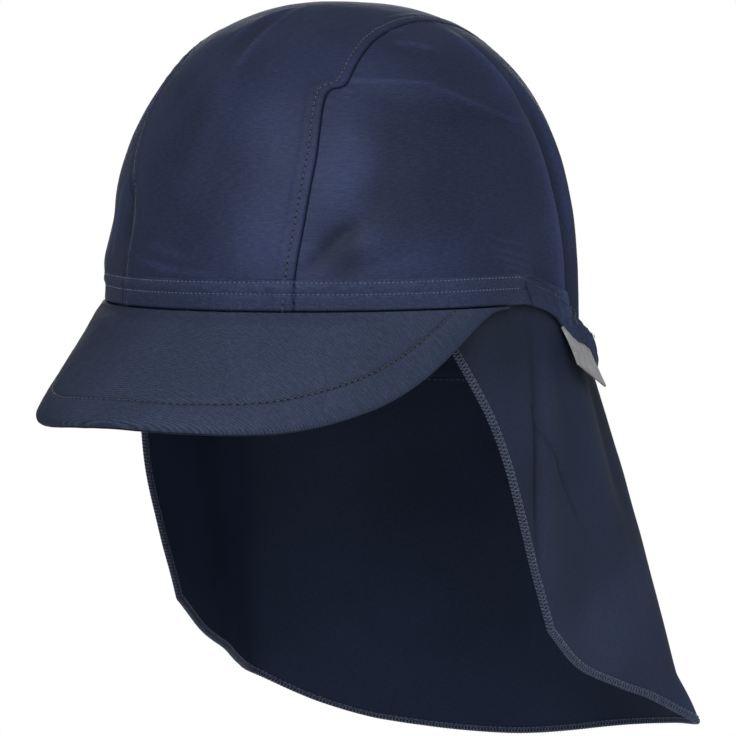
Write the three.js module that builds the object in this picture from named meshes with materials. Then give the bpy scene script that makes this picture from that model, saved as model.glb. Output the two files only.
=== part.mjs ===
// A child's soft legionnaire cap: a three-panel crown, a padded peak and a long neck flap.
// Millimetres, +Z up, the front of the cap towards -Y and the wearer's left towards +X.
// The origin lies inside the crown, in the middle of the head line, where the cap sits on a head.
// Angles called around are degrees round the head, 0 at the front and positive towards the left.
import * as THREE from 'three';

// Crown form
const HALF_WIDTH = 70.5;
const FRONT_REACH = 84;
const REAR_REACH = 94;
const CROWN_HEIGHT = 96;
const CROWN_LEAN = 1.5;
const PLAN_POWER = 1.93;
const PROFILE_POWER = 2.38;

// Rim: level round the front, then down to the nape
const RIM_LIFT = 2;
const NAPE_DROP = 30;
const DROP_START = 85;
const DROP_END = 150;

// Cloth and clearances
const CLOTH = 1.2;
const PIECE_GAP = 0.3;

// Centre panel
const STRIP_HALF_WIDTH = 33;

// Front band and rear casing
const BAND_HEIGHT = 9.5;
const BAND_CLOTH = 1.8;
const BAND_STAND = 0.3;
const BAND_END = 89;
const CASING_HEIGHT = 10;
const CASING_BULGE = 5.5;
const BULGE_AROUND = 128;
const BULGE_SPREAD = 26;
const BULGE_AT_NAPE = 0.2;
const GATHER_COUNT = 16;
const GATHER_HEIGHT = 0.7;

// Peak
const PEAK_LENGTH = 54;
const PEAK_THICKNESS = 3.6;
const PEAK_ROOT_THICKNESS = 2.4;
const PEAK_END = 80;
const PEAK_BOW = 6;
const PEAK_SPREAD = 0.79;

// Neck flap
const FLAP_LENGTH = 125;
const FLAP_START = 53;
const FLAP_TUCK = 5;

// Label
const LABEL_START = 104;
const LABEL_END = 120;
const LABEL_LENGTH = 13;
const LABEL_THICKNESS = 0.9;
const LABEL_TILT = 25;

// Folds in the crown: width and height in the tables are shares of these
const FOLD_WIDTH = 8;
const FOLD_HEIGHT = 1.5;

// Folds in the flap
const DRAPE_SPREAD = 10;
const DRAPE_HEIGHT = 3;

// Seam line of the centre panel: half width as a share, by degrees over the head from the front
const SEAM_LINE = [
  { over: 0, width: 1 },
  { over: 36, width: 0.99 },
  { over: 46, width: 0.935 },
  { over: 49.5, width: 0.925 },
  { over: 53.5, width: 1.02 },
  { over: 60, width: 1 },
  { over: 70, width: 0.965 },
  { over: 110, width: 0.98 },
  { over: 200, width: 1 },
];

// Crown folds: each runs between two places given in degrees around and up
const CROWN_FOLDS = [
  { around: 94, up: 68, toAround: 106, toUp: -4, width: 0.7, height: 1.1 },
  { around: 112, up: 52, toAround: 114, toUp: -6, width: 0.6, height: -0.9 },
  { around: 119, up: 56, toAround: 123, toUp: -8, width: 0.7, height: 1.0 },
  { around: 34, up: 50, toAround: 100, toUp: 48, width: 0.6, height: 0.5 },
  { around: 34, up: 45, toAround: 84, toUp: 43, width: 0.8, height: -0.4 },
  { around: 54, up: 62, toAround: 74, toUp: 61, width: 0.5, height: 0.4 },
  { around: 27, up: 10, toAround: 46, toUp: 31, width: 0.9, height: -0.6 },
  { around: -5, up: 45, toAround: -10, toUp: 27, width: 1.0, height: -0.5 },
  { around: 2, up: 76, toAround: 0, toUp: 52, width: 0.6, height: 0.4 },
  { around: -6, up: 71, toAround: -14, toUp: 58, width: 0.6, height: 0.4 },
  { around: 76, up: 16, toAround: 92, toUp: 8, width: 0.6, height: 0.5 },
  { around: -28, up: 9, toAround: -60, toUp: 12, width: 0.7, height: 0.6 },
  { around: -34, up: 20, toAround: -62, toUp: 23, width: 0.8, height: -0.6 },
  { around: -104, up: 50, toAround: -108, toUp: -4, width: 0.8, height: 0.9 },
  { around: -124, up: 44, toAround: -122, toUp: -8, width: 0.8, height: 0.9 },
  { around: 148, up: 30, toAround: 150, toUp: -12, width: 0.8, height: 0.7 },
  { around: 172, up: 26, toAround: 170, toUp: -12, width: 0.9, height: 0.6 },
  { around: -152, up: 32, toAround: -150, toUp: -12, width: 0.8, height: 0.7 },
];

// Peak sections: length as a share of PEAK_LENGTH, slope in degrees below level
const PEAK_SECTIONS = [
  { around: 0, length: 1, slope: 33 },
  { around: 20, length: 0.9, slope: 41 },
  { around: 40, length: 0.6, slope: 57 },
  { around: 60, length: 0.26, slope: 75 },
  { around: 80, length: 0.03, slope: 95 },
];

// Flap hem: where the hem hangs below each place round the rim. Side is a share of HALF_WIDTH,
// back of REAR_REACH, and left and right are each side's drop as a share of FLAP_LENGTH
const FLAP_HEM = [
  { around: 53, side: 1.0, back: 0.12, left: 0.59, right: 0.585 },
  { around: 78, side: 1.02, back: 0.3, left: 0.695, right: 0.685 },
  { around: 98, side: 1.08, back: 0.5, left: 0.76, right: 0.755 },
  { around: 116, side: 1.15, back: 0.67, left: 0.81, right: 0.815 },
  { around: 132, side: 1.19, back: 0.86, left: 0.885, right: 0.87 },
  { around: 144, side: 0.99, back: 1.02, left: 0.91, right: 0.945 },
  { around: 157, side: 0.68, back: 1.11, left: 0.94, right: 0.99 },
  { around: 180, side: 0, back: 1.15, left: 1, right: 1 },
];

// Flap front edge, from the rim to the hem's corner: how far back and out it has gone by each
// share of its way down
const FLAP_FRONT_EDGE = [
  { down: 0, back: 0, out: 0 },
  { down: 0.12, back: 0.25, out: 0.15 },
  { down: 0.34, back: 0.48, out: 0.62 },
  { down: 0.6, back: 0.66, out: 0.93 },
  { down: 1, back: 1, out: 1 },
];

// Flap folds: place round the rim, the stretch down the flap, and shares of the drape sizes
const FLAP_FOLDS = [
  { around: 92, from: 0, to: 0.75, spread: 0.7, height: -0.7 },
  { around: 108, from: 0, to: 0.9, spread: 1.0, height: 0.5 },
  { around: 118, from: 0, to: 0.5, spread: 0.6, height: -0.8 },
  { around: 134, from: 0.86, to: 1.14, spread: 0.8, height: 0.9 },
  { around: 152, from: 0, to: 0.6, spread: 0.8, height: -0.5 },
  { around: 166, from: 0, to: 0.8, spread: 0.8, height: 0.5 },
  { around: 196, from: 0, to: 0.8, spread: 0.9, height: 0.4 },
  { around: 214, from: 0, to: 0.6, spread: 0.8, height: -0.5 },
  { around: 250, from: 0, to: 0.8, spread: 1.0, height: 0.4 },
];

// Grid counts
const SEAM_STEPS = 40;
const STRIP_STEPS = 10;
const SIDE_STEPS = 11;
const BAND_GRID = { around: 48, up: 2 };
const CASING_GRID = { around: 64, up: 3 };
const PEAK_GRID = { around: 44 };
const PEAK_STEPS = [0, 0.08, 0.2, 0.42, 0.64, 0.84, 0.95, 1];
const FLAP_GRID = { around: 48, down: 14, tuck: 1 };
const LABEL_GRID = { around: 6, down: 2 };

const rad = THREE.MathUtils.degToRad;
const deg = THREE.MathUtils.radToDeg;
const lerp = THREE.MathUtils.lerp;
const clamp = THREE.MathUtils.clamp;

/** Eases from 0 to 1 while value goes from low to high. */
function ease(value, low, high) {
  return THREE.MathUtils.smoothstep(value, low, high);
}

/** Reads one column of a table as a smooth curve over another column. */
function readColumn(rows, by, column, at) {
  const last = rows.length - 1;
  const slope = (i) => {
    const before = rows[Math.max(i - 1, 0)];
    const after = rows[Math.min(i + 1, last)];
    return (after[column] - before[column]) / (after[by] - before[by]);
  };
  let i = 0;
  while (i < last - 1 && at > rows[i + 1][by]) {
    i += 1;
  }
  const span = rows[i + 1][by] - rows[i][by];
  const t = clamp((at - rows[i][by]) / span, 0, 1);
  const rise = t * t * (3 - 2 * t);
  return lerp(rows[i][column], rows[i + 1][column], rise)
    + span * t * (1 - t) * ((1 - t) * slope(i) - t * slope(i + 1));
}

/** Carries a table of one half round to the other half, about a middle value. */
function bothHalves(rows, by, middle, mirrorRow) {
  const others = rows.filter((row) => row[by] !== middle).map(mirrorRow);
  return [...rows, ...others].sort((a, b) => a[by] - b[by]);
}

// Crown form

/** Level of the form at a point: 1 on the outer skin, less inside. */
function formLevel(x, y, z) {
  const reach = y < 0 ? FRONT_REACH : REAR_REACH;
  const plan = Math.abs(x / HALF_WIDTH) ** PLAN_POWER + Math.abs(y / reach) ** PLAN_POWER;
  const rise = Math.max(z, 0) / CROWN_HEIGHT;
  return plan ** (PROFILE_POWER / PLAN_POWER) + rise ** PROFILE_POWER;
}

/** Point where a ray from inside the form meets its skin. */
function meetSkin(origin, direction) {
  let near = 0;
  let far = 2 * (CROWN_HEIGHT + REAR_REACH);
  const point = new THREE.Vector3();
  for (let step = 0; step < 40; step += 1) {
    const middle = (near + far) / 2;
    point.copy(direction).multiplyScalar(middle).add(origin);
    if (formLevel(point.x, point.y, point.z) < 1) {
      near = middle;
    } else {
      far = middle;
    }
  }
  return point;
}

/** Outward normal of the form at a point on its skin. */
function skinNormal(point) {
  const step = 0.01;
  const { x, y, z } = point;
  return new THREE.Vector3(
    formLevel(x + step, y, z) - formLevel(x - step, y, z),
    formLevel(x, y + step, z) - formLevel(x, y - step, z),
    formLevel(x, y, z + step) - formLevel(x, y, z - step),
  ).normalize();
}

/** Degrees round the head of a point. */
function aroundOf(point) {
  return deg(Math.atan2(point.x, -point.y));
}

/** Sum of the crown's folds at a point on the form: positive stands out. */
function foldHeight(point) {
  const around = aroundOf(point);
  const up = deg(Math.atan2(point.z, Math.hypot(point.x, point.y)));
  const reach = point.length() * rad(1);
  const shrink = Math.cos(rad(up));
  let height = 0;
  for (const fold of CROWN_FOLDS) {
    const alongX = (fold.toAround - fold.around) * shrink;
    const alongY = fold.toUp - fold.up;
    const offX = (around - fold.around) * shrink;
    const offY = up - fold.up;
    const share = (offX * alongX + offY * alongY) / (alongX ** 2 + alongY ** 2);
    const t = clamp(share, 0, 1);
    const distance = reach * Math.hypot(offX - t * alongX, offY - t * alongY);
    const width = fold.width * FOLD_WIDTH;
    const fade = ease(t, 0, 0.3) * (fold.toUp > 0 ? ease(1 - t, 0, 0.3) : 1);
    height += fold.height * FOLD_HEIGHT * fade * Math.exp(-((distance / width) ** 2));
  }
  return height;
}

/** Moves a point on the form out by a distance and adds the crown's lean. */
function offSkin(point, distance) {
  const moved = point.clone().addScaledVector(skinNormal(point), distance);
  moved.y += CROWN_LEAN * Math.max(point.z, 0) / CROWN_HEIGHT;
  return moved;
}

/** Outer and inner point of the crown's cloth over one place of the form. */
function crownCloth(point) {
  const height = foldHeight(point);
  return [offSkin(point, height), offSkin(point, height - CLOTH)];
}

// Rim

/** Height of the rim's lower edge at a place round the head. */
function rimHeight(around) {
  const turn = Math.abs(around) > 180 ? 360 - Math.abs(around) : Math.abs(around);
  return RIM_LIFT - NAPE_DROP * ease(turn, DROP_START, DROP_END);
}

/** Height of the band or casing above the rim's lower edge. */
function hemHeight(around) {
  const turn = Math.abs(around) > 180 ? 360 - Math.abs(around) : Math.abs(around);
  return lerp(BAND_HEIGHT, CASING_HEIGHT, ease(turn, DROP_START, DROP_END));
}

/** Lowest height of the crown panels, just above the band or casing. */
function panelFoot(around) {
  return rimHeight(around) + hemHeight(around) + PIECE_GAP;
}

/** Point of the form at a place round the head and a height. */
function formAt(around, height) {
  const direction = new THREE.Vector3(Math.sin(rad(around)), -Math.cos(rad(around)), 0);
  return meetSkin(new THREE.Vector3(0, 0, height), direction);
}

/** How far the gathered casing stands out, largest at its lower edge. */
function casingBulge(around, aboveRim) {
  const turn = Math.abs(around) > 180 ? 360 - Math.abs(around) : Math.abs(around);
  const bell = Math.exp(-(((turn - BULGE_AROUND) / BULGE_SPREAD) ** 2));
  const begin = ease(turn, BAND_END, BAND_END + BULGE_SPREAD / 2);
  const fall = 1 - clamp(aboveRim / hemHeight(around), 0, 1);
  return CASING_BULGE * Math.max(bell, BULGE_AT_NAPE) * begin * fall;
}

/** Point inside the rim where the flap's cloth has its middle. */
function flapRoot(around, aboveRim) {
  const inside = BAND_CLOTH - BAND_STAND + PIECE_GAP + CLOTH / 2;
  const point = formAt(around, rimHeight(around) + aboveRim);
  return offSkin(point, casingBulge(around, aboveRim) - inside);
}

// Solids

/** Collects welded points and faces, and turns them into a closed geometry. */
class ClothSolid {
  constructor() {
    this.points = [];
    this.faces = [];
    this.known = new Map();
  }

  /** Number of a point, the same for points that coincide. */
  weld(point) {
    const key = [point.x, point.y, point.z].map((value) => value.toFixed(4)).join(' ');
    if (!this.known.has(key)) {
      this.known.set(key, this.points.length);
      this.points.push(point);
    }
    return this.known.get(key);
  }

  /** Adds a four-cornered face, split along its shorter diagonal, without faces of no area. */
  quad(a, b, c, d) {
    const corners = [a, b, c, d].map((point) => this.weld(point));
    const onShorter = a.distanceTo(c) <= b.distanceTo(d);
    const halves = onShorter ? [[0, 1, 2], [0, 2, 3]] : [[0, 1, 3], [1, 2, 3]];
    for (const [i, j, k] of halves) {
      const face = [corners[i], corners[j], corners[k]];
      if (new Set(face).size === 3) {
        this.faces.push(...face);
      }
    }
  }

  /** Volume enclosed, negative where the faces point inwards. */
  volume() {
    let sum = 0;
    for (let i = 0; i < this.faces.length; i += 3) {
      const [a, b, c] = this.faces.slice(i, i + 3).map((number) => this.points[number]);
      sum += a.dot(new THREE.Vector3().crossVectors(b, c)) / 6;
    }
    return sum;
  }

  /** Geometry with its faces pointing out. */
  geometry() {
    const faces = this.volume() < 0 ? this.faces.slice().reverse() : this.faces;
    const geometry = new THREE.BufferGeometry();
    const values = this.points.flatMap((point) => [point.x, point.y, point.z]);
    geometry.setAttribute('position', new THREE.Float32BufferAttribute(values, 3));
    geometry.setIndex(faces);
    geometry.computeVertexNormals();
    return geometry;
  }
}

/** Closes the space between two grids of points into one solid. */
function fillBetween(outer, inner) {
  const solid = new ClothSolid();
  const rows = outer.length - 1;
  const columns = outer[0].length - 1;
  for (let i = 0; i < rows; i += 1) {
    for (let j = 0; j < columns; j += 1) {
      solid.quad(outer[i][j], outer[i][j + 1], outer[i + 1][j + 1], outer[i + 1][j]);
      solid.quad(inner[i][j], inner[i + 1][j], inner[i + 1][j + 1], inner[i][j + 1]);
    }
    solid.quad(outer[i][0], outer[i + 1][0], inner[i + 1][0], inner[i][0]);
    solid.quad(outer[i][columns], inner[i][columns], inner[i + 1][columns], outer[i + 1][columns]);
  }
  for (let j = 0; j < columns; j += 1) {
    solid.quad(outer[0][j], inner[0][j], inner[0][j + 1], outer[0][j + 1]);
    solid.quad(outer[rows][j], outer[rows][j + 1], inner[rows][j + 1], inner[rows][j]);
  }
  return solid.geometry();
}

/** Fills a grid of places, where place(i, j) gives an outer and an inner point. */
function clothFrom(rows, columns, place) {
  const outer = [];
  const inner = [];
  for (let i = 0; i <= rows; i += 1) {
    const pairs = [];
    for (let j = 0; j <= columns; j += 1) {
      pairs.push(place(i / rows, j / columns));
    }
    outer.push(pairs.map((pair) => pair[0]));
    inner.push(pairs.map((pair) => pair[1]));
  }
  return fillBetween(outer, inner);
}

/** Gives a sheet of points a thickness, half to each side, along its own normals. */
function thicken(sheet, thickness) {
  const rows = sheet.length - 1;
  const columns = sheet[0].length - 1;
  const move = (i, j, half) => {
    const down = new THREE.Vector3().subVectors(
      sheet[Math.min(i + 1, rows)][j], sheet[Math.max(i - 1, 0)][j]);
    const along = new THREE.Vector3().subVectors(
      sheet[i][Math.min(j + 1, columns)], sheet[i][Math.max(j - 1, 0)]);
    const normal = down.cross(along).normalize();
    return sheet[i][j].clone().addScaledVector(normal, half);
  };
  const side = (half) => sheet.map((row, i) => row.map((point, j) => move(i, j, half)));
  return fillBetween(side(thickness / 2), side(-thickness / 2));
}

// Pieces

/** Point of the form over the head: share across the strip, share along it from the front. */
function strip(across, along) {
  const widthAt = (over) => STRIP_HALF_WIDTH * readColumn(SEAM_LINE, 'over', 'width', over);
  const footOver = (around, x) => {
    const foot = panelFoot(around);
    const y = meetSkin(new THREE.Vector3(x, 0, foot), new THREE.Vector3(0, around ? 1 : -1, 0)).y;
    return deg(Math.atan2(foot, -y));
  };
  const x = across * widthAt(0);
  const over = lerp(footOver(0, x), 360 + footOver(180, x), along);
  const direction = new THREE.Vector3(0, -Math.cos(rad(over)), Math.sin(rad(over)));
  return meetSkin(new THREE.Vector3(across * widthAt(over), 0, 0), direction);
}

function centrePanel() {
  const edge = 1 - PIECE_GAP / 2 / STRIP_HALF_WIDTH;
  return clothFrom(SEAM_STEPS, STRIP_STEPS, (along, across) => (
    crownCloth(strip(lerp(-edge, edge, across), along))
  ));
}

function sidePanel(side) {
  const edge = 1 + PIECE_GAP / 2 / STRIP_HALF_WIDTH;
  const start = aroundOf(strip(edge, 0));
  const finish = aroundOf(strip(edge, 1));
  return clothFrom(SEAM_STEPS, SIDE_STEPS, (along, up) => {
    const around = lerp(start, finish, along);
    const low = formAt(around, panelFoot(around)).normalize();
    const high = strip(edge, along).normalize();
    const angle = low.angleTo(high);
    const turn = Math.max(Math.sin(angle), 1e-6);
    const direction = angle < 1e-5 ? high : low.multiplyScalar(Math.sin((1 - up) * angle) / turn)
      .addScaledVector(high, Math.sin(up * angle) / turn);
    const point = meetSkin(new THREE.Vector3(), direction);
    point.x *= side;
    return crownCloth(point);
  });
}

function frontBand() {
  return clothFrom(BAND_GRID.up, BAND_GRID.around, (up, along) => {
    const around = lerp(-BAND_END, BAND_END, along);
    const point = formAt(around, rimHeight(around) + up * hemHeight(around));
    return [offSkin(point, BAND_STAND), offSkin(point, BAND_STAND - BAND_CLOTH)];
  });
}

function rearCasing() {
  const start = BAND_END + deg(PIECE_GAP / HALF_WIDTH);
  return clothFrom(CASING_GRID.up, CASING_GRID.around, (up, along) => {
    const around = lerp(start, 360 - start, along);
    const above = up * hemHeight(around);
    const point = formAt(around, rimHeight(around) + above);
    const bulge = casingBulge(around, above);
    const gather = GATHER_HEIGHT * Math.sin(Math.PI * GATHER_COUNT * along) ** 2 * Math.sin(Math.PI * up);
    return [
      offSkin(point, bulge + BAND_STAND + gather),
      offSkin(point, bulge + BAND_STAND - BAND_CLOTH),
    ];
  });
}

function peak() {
  const sections = bothHalves(PEAK_SECTIONS, 'around', 0, (row) => ({ ...row, around: -row.around }));
  const inside = BAND_CLOTH - BAND_STAND;
  const outer = [];
  const inner = [];
  for (const step of PEAK_STEPS) {
    const tops = [];
    const unders = [];
    for (let j = 0; j <= PEAK_GRID.around; j += 1) {
      const around = lerp(-PEAK_END, PEAK_END, j / PEAK_GRID.around);
      const share = readColumn(sections, 'around', 'length', around);
      const slope = rad(readColumn(sections, 'around', 'slope', around) + PEAK_BOW * (step - 0.5));
      const run = step * share * PEAK_LENGTH;
      const root = formAt(around, rimHeight(around));
      const out = new THREE.Vector3(PEAK_SPREAD * Math.sin(rad(around)), -Math.cos(rad(around)), 0);
      out.normalize();
      const middle = offSkin(root, PEAK_ROOT_THICKNESS / 2 - inside);
      middle.addScaledVector(out, run * Math.cos(slope));
      middle.z -= PIECE_GAP + run * Math.sin(slope);
      const normal = out.clone().multiplyScalar(Math.sin(slope));
      normal.z = Math.cos(slope);
      const turn = ease(step, 0, PEAK_STEPS[2]);
      const across = out.clone().lerp(normal, turn).normalize();
      const full = lerp(PEAK_ROOT_THICKNESS, PEAK_THICKNESS, turn * share);
      const round = Math.sqrt(1 - 0.85 * ease(step, PEAK_STEPS[5], 1));
      tops.push(middle.clone().addScaledVector(across, full * round / 2));
      unders.push(middle.clone().addScaledVector(across, -full * round / 2));
    }
    outer.push(tops);
    inner.push(unders);
  }
  return fillBetween(outer, inner);
}

/** Height that the flap's folds add at a place round the rim and a share of the way down. */
function drapeHeight(around, down) {
  let height = 0;
  for (const fold of FLAP_FOLDS) {
    const across = (around - fold.around) / (fold.spread * DRAPE_SPREAD);
    const along = clamp((down - fold.from) / (fold.to - fold.from), 0, 1);
    height += fold.height * DRAPE_HEIGHT * Math.exp(-(across ** 2)) * Math.sin(Math.PI * along);
  }
  return height;
}

/** Middle of the flap's cloth: degrees round the rim from the left front edge, share down. */
function flapPoint(hem, around, down) {
  const place = (at) => new THREE.Vector3(
    HALF_WIDTH * readColumn(hem, 'around', 'side', at),
    REAR_REACH * readColumn(hem, 'around', 'back', at),
    RIM_LIFT - NAPE_DROP - FLAP_LENGTH * readColumn(hem, 'around', 'drop', at),
  );
  const point = flapRoot(around, 0).lerp(place(around), down);
  const onLeft = around <= 180;
  const edge = onLeft ? FLAP_START : 360 - FLAP_START;
  const near = 1 - Math.abs(around - edge) / (180 - FLAP_START);
  const span = place(edge).sub(flapRoot(edge, 0));
  const out = readColumn(FLAP_FRONT_EDGE, 'down', 'out', down) - down;
  const back = readColumn(FLAP_FRONT_EDGE, 'down', 'back', down) - down;
  point.x += out * span.x * near ** 2;
  point.y += back * span.y * near ** 2;
  const outward = new THREE.Vector3(Math.sin(rad(around)), -Math.cos(rad(around)), 0);
  return point.addScaledVector(outward, drapeHeight(around, down));
}

function neckFlap() {
  const leftRows = FLAP_HEM.map((row) => ({ ...row, drop: row.left }));
  const hem = bothHalves(leftRows, 'around', 180, (row) => (
    { around: 360 - row.around, side: -row.side, back: row.back, drop: row.right }
  ));
  const sheet = [];
  for (let i = -FLAP_GRID.tuck; i <= FLAP_GRID.down; i += 1) {
    const row = [];
    for (let j = 0; j <= FLAP_GRID.around; j += 1) {
      const around = lerp(FLAP_START, 360 - FLAP_START, j / FLAP_GRID.around);
      const tuck = -i / FLAP_GRID.tuck * FLAP_TUCK;
      row.push(i < 0 ? flapRoot(around, tuck) : flapPoint(hem, around, i / FLAP_GRID.down));
    }
    sheet.push(row);
  }
  return thicken(sheet, CLOTH);
}

function sideLabel() {
  const sheet = [];
  for (let i = 0; i <= LABEL_GRID.down; i += 1) {
    const row = [];
    for (let j = 0; j <= LABEL_GRID.around; j += 1) {
      const around = lerp(LABEL_START, LABEL_END, j / LABEL_GRID.around);
      const run = LABEL_LENGTH * i / LABEL_GRID.down;
      const root = formAt(around, rimHeight(around));
      const point = offSkin(root, casingBulge(around, 0) + run * Math.sin(rad(LABEL_TILT)));
      point.z -= PIECE_GAP + run * Math.cos(rad(LABEL_TILT));
      row.push(point);
    }
    sheet.push(row);
  }
  return thicken(sheet, LABEL_THICKNESS);
}

const navyKnit = new THREE.MeshStandardMaterial({ color: 0x2b3650, roughness: 0.62, metalness: 0 });
const navyBand = new THREE.MeshStandardMaterial({ color: 0x2a3550, roughness: 0.66, metalness: 0 });
const flapKnit = new THREE.MeshStandardMaterial({ color: 0x222b40, roughness: 0.7, metalness: 0 });
const greyTape = new THREE.MeshStandardMaterial({ color: 0x9b9b9f, roughness: 0.5, metalness: 0 });

/** Puts a named piece into the cap. */
function addPiece(group, name, geometry, material) {
  const mesh = new THREE.Mesh(geometry, material);
  mesh.name = name;
  group.add(mesh);
}

const cap = new THREE.Group();
addPiece(cap, 'crown_centre_panel', centrePanel(), navyKnit);
addPiece(cap, 'crown_side_panel_left', sidePanel(1), navyKnit);
addPiece(cap, 'crown_side_panel_right', sidePanel(-1), navyKnit);
addPiece(cap, 'front_hem_band', frontBand(), navyBand);
addPiece(cap, 'rear_elastic_casing', rearCasing(), navyBand);
addPiece(cap, 'peak', peak(), navyBand);
addPiece(cap, 'neck_flap', neckFlap(), flapKnit);
addPiece(cap, 'side_label', sideLabel(), greyTape);

export default cap;
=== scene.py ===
"""Visual model of a child's soft legionnaire cap in navy swim knit.

Lengths are millimetres until a mesh is made, where they become metres. Angles called around are degrees
round the head, 0 at the front and positive towards the wearer's left, as in the part's own source.
"""

import logging
import math
from dataclasses import dataclass
from enum import Enum
from typing import NamedTuple, Optional, Sequence

import bmesh
import bpy
import numpy as np
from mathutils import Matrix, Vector


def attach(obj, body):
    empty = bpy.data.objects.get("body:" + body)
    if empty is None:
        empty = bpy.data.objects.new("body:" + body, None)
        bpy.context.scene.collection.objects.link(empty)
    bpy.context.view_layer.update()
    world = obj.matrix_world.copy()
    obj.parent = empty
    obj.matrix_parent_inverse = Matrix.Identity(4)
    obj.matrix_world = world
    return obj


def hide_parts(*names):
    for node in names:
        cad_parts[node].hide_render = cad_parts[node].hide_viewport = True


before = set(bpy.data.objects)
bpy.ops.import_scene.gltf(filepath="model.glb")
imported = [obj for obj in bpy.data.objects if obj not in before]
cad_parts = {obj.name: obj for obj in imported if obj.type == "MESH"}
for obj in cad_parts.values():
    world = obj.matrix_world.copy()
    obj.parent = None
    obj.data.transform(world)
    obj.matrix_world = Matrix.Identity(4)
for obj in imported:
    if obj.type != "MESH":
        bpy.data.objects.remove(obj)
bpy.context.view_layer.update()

log = logging.getLogger("cap")
MILLIMETRE = 0.001
UV_NAME = "cloth_uv"
SHADE_NAME = "seam_shade"
PAINTED_LIGHT_TONE_NAME = "painted_light_and_stretch_tone"
# Point attribute of the cloth's tone: stretch tone with painted light and painted shade.
FACE_OUT = "face_out"
# Marks the dark lenses that are painted shade in the needle holes.
HOLE = "needle_hole"

# ---- Sums used by every piece


def ease(value: np.ndarray, low: float, high: float) -> np.ndarray:
    """Eases from 0 to 1 while value goes from low to high.

    Args:
        value: Where to read the curve.
        low: Value where it is still 0.
        high: Value where it is already 1.

    Returns:
        The eased share, of value's shape.
    """
    share = np.clip((value - low) / (high - low), 0.0, 1.0)
    return share * share * (3.0 - 2.0 * share)


def bell(value: np.ndarray, middle: float, spread: float) -> np.ndarray:
    """Bell curve of height 1 about a middle.

    Args:
        value: Where to read the curve.
        middle: Place of its top.
        spread: Distance over which it falls to 1/e.

    Returns:
        The curve, of value's shape.
    """
    return np.exp(-(((value - middle) / spread) ** 2))


def lerp(start: np.ndarray, end: np.ndarray, share: np.ndarray) -> np.ndarray:
    """Goes straight from start to end.

    Args:
        start: Value at share 0.
        end: Value at share 1.
        share: How far along.

    Returns:
        The value between.
    """
    return start + (end - start) * share


def unit(vectors: np.ndarray) -> np.ndarray:
    """Vectors of length 1 in the same directions.

    Args:
        vectors: Any array whose last axis is x, y, z.

    Returns:
        The array of unit vectors.
    """
    length = np.linalg.norm(vectors, axis=-1, keepdims=True)
    return vectors / np.maximum(length, 1e-12)


def read_column(rows: Sequence, by: str, column: str, at: np.ndarray) -> np.ndarray:
    """Reads one column of a table as a smooth curve over another column.

    Args:
        rows: Rows of a table, in rising order of the column by.
        by: Name of the column that at is given in.
        column: Name of the column to read.
        at: Where to read it.

    Returns:
        The column's values there.
    """
    places = np.array([getattr(row, by) for row in rows], float)
    values = np.array([getattr(row, column) for row in rows], float)
    last = len(rows) - 1
    before = np.maximum(np.arange(last + 1) - 1, 0)
    after = np.minimum(np.arange(last + 1) + 1, last)
    slope = (values[after] - values[before]) / (places[after] - places[before])
    first = np.searchsorted(places[1:-1], at, side="left")
    span = places[first + 1] - places[first]
    share = np.clip((at - places[first]) / span, 0.0, 1.0)
    rise = share * share * (3.0 - 2.0 * share)
    bend = span * share * (1.0 - share) * ((1.0 - share) * slope[first] - share * slope[first + 1])
    return lerp(values[first], values[first + 1], rise) + bend


def cloth_wave(points: np.ndarray, size: float, seed: int) -> np.ndarray:
    """Soft unevenness of hanging or stretched cloth, between about -1 and 1.

    Args:
        points: Places, in millimetres.
        size: Usual distance between two crests.
        seed: Which pattern, the same on every run.

    Returns:
        One height for each place.
    """
    chance = np.random.default_rng(seed)
    height = np.zeros(points.shape[:-1])
    waves = 7
    for _ in range(waves):
        direction = unit(chance.normal(size=3))
        length = size * chance.uniform(0.7, 1.7)
        height += np.sin(points @ direction * (2.0 * math.pi / length) + chance.uniform(0.0, 2.0 * math.pi))
    return height / math.sqrt(waves)


def closer_at_ends(count: int, share: float = 0.8, start: bool = True, end: bool = True) -> np.ndarray:
    """Places from 0 to 1 that lie closer together towards one or both ends.

    Args:
        count: Number of steps.
        share: How strongly they are drawn to the ends, below 1.
        start: Whether they are drawn to 0.
        end: Whether they are drawn to 1.

    Returns:
        count + 1 places.
    """
    even = np.linspace(0.0, 1.0, count + 1)
    if start and end:
        drawn = (1.0 - np.cos(math.pi * even)) / 2.0
    elif start:
        drawn = 1.0 - np.cos(math.pi / 2.0 * even)
    else:
        drawn = np.sin(math.pi / 2.0 * even)
    return lerp(even, drawn, share)


def run_along(points: np.ndarray, axis: int) -> np.ndarray:
    """Distance travelled over a grid of points along one of its axes.

    Args:
        points: Grid of places.
        axis: 0 for down the rows, 1 for along the columns.

    Returns:
        The distance from the first row or column.
    """
    steps = np.linalg.norm(np.diff(points, axis=axis), axis=-1)
    pad = [(0, 0), (0, 0)]
    pad[axis] = (1, 0)
    return np.cumsum(np.pad(steps, pad), axis=axis)


# ---- Meshes


class Side(Enum):
    """A side of the cap, as the wearer has it."""

    LEFT = 1
    RIGHT = -1


class Slot(Enum):
    """Material slots that the record names."""

    CROWN = "crown_knit"
    BAND = "band_knit"
    PEAK = "peak_knit"
    FLAP = "flap_knit"
    LABEL = "label_tape"


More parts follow.
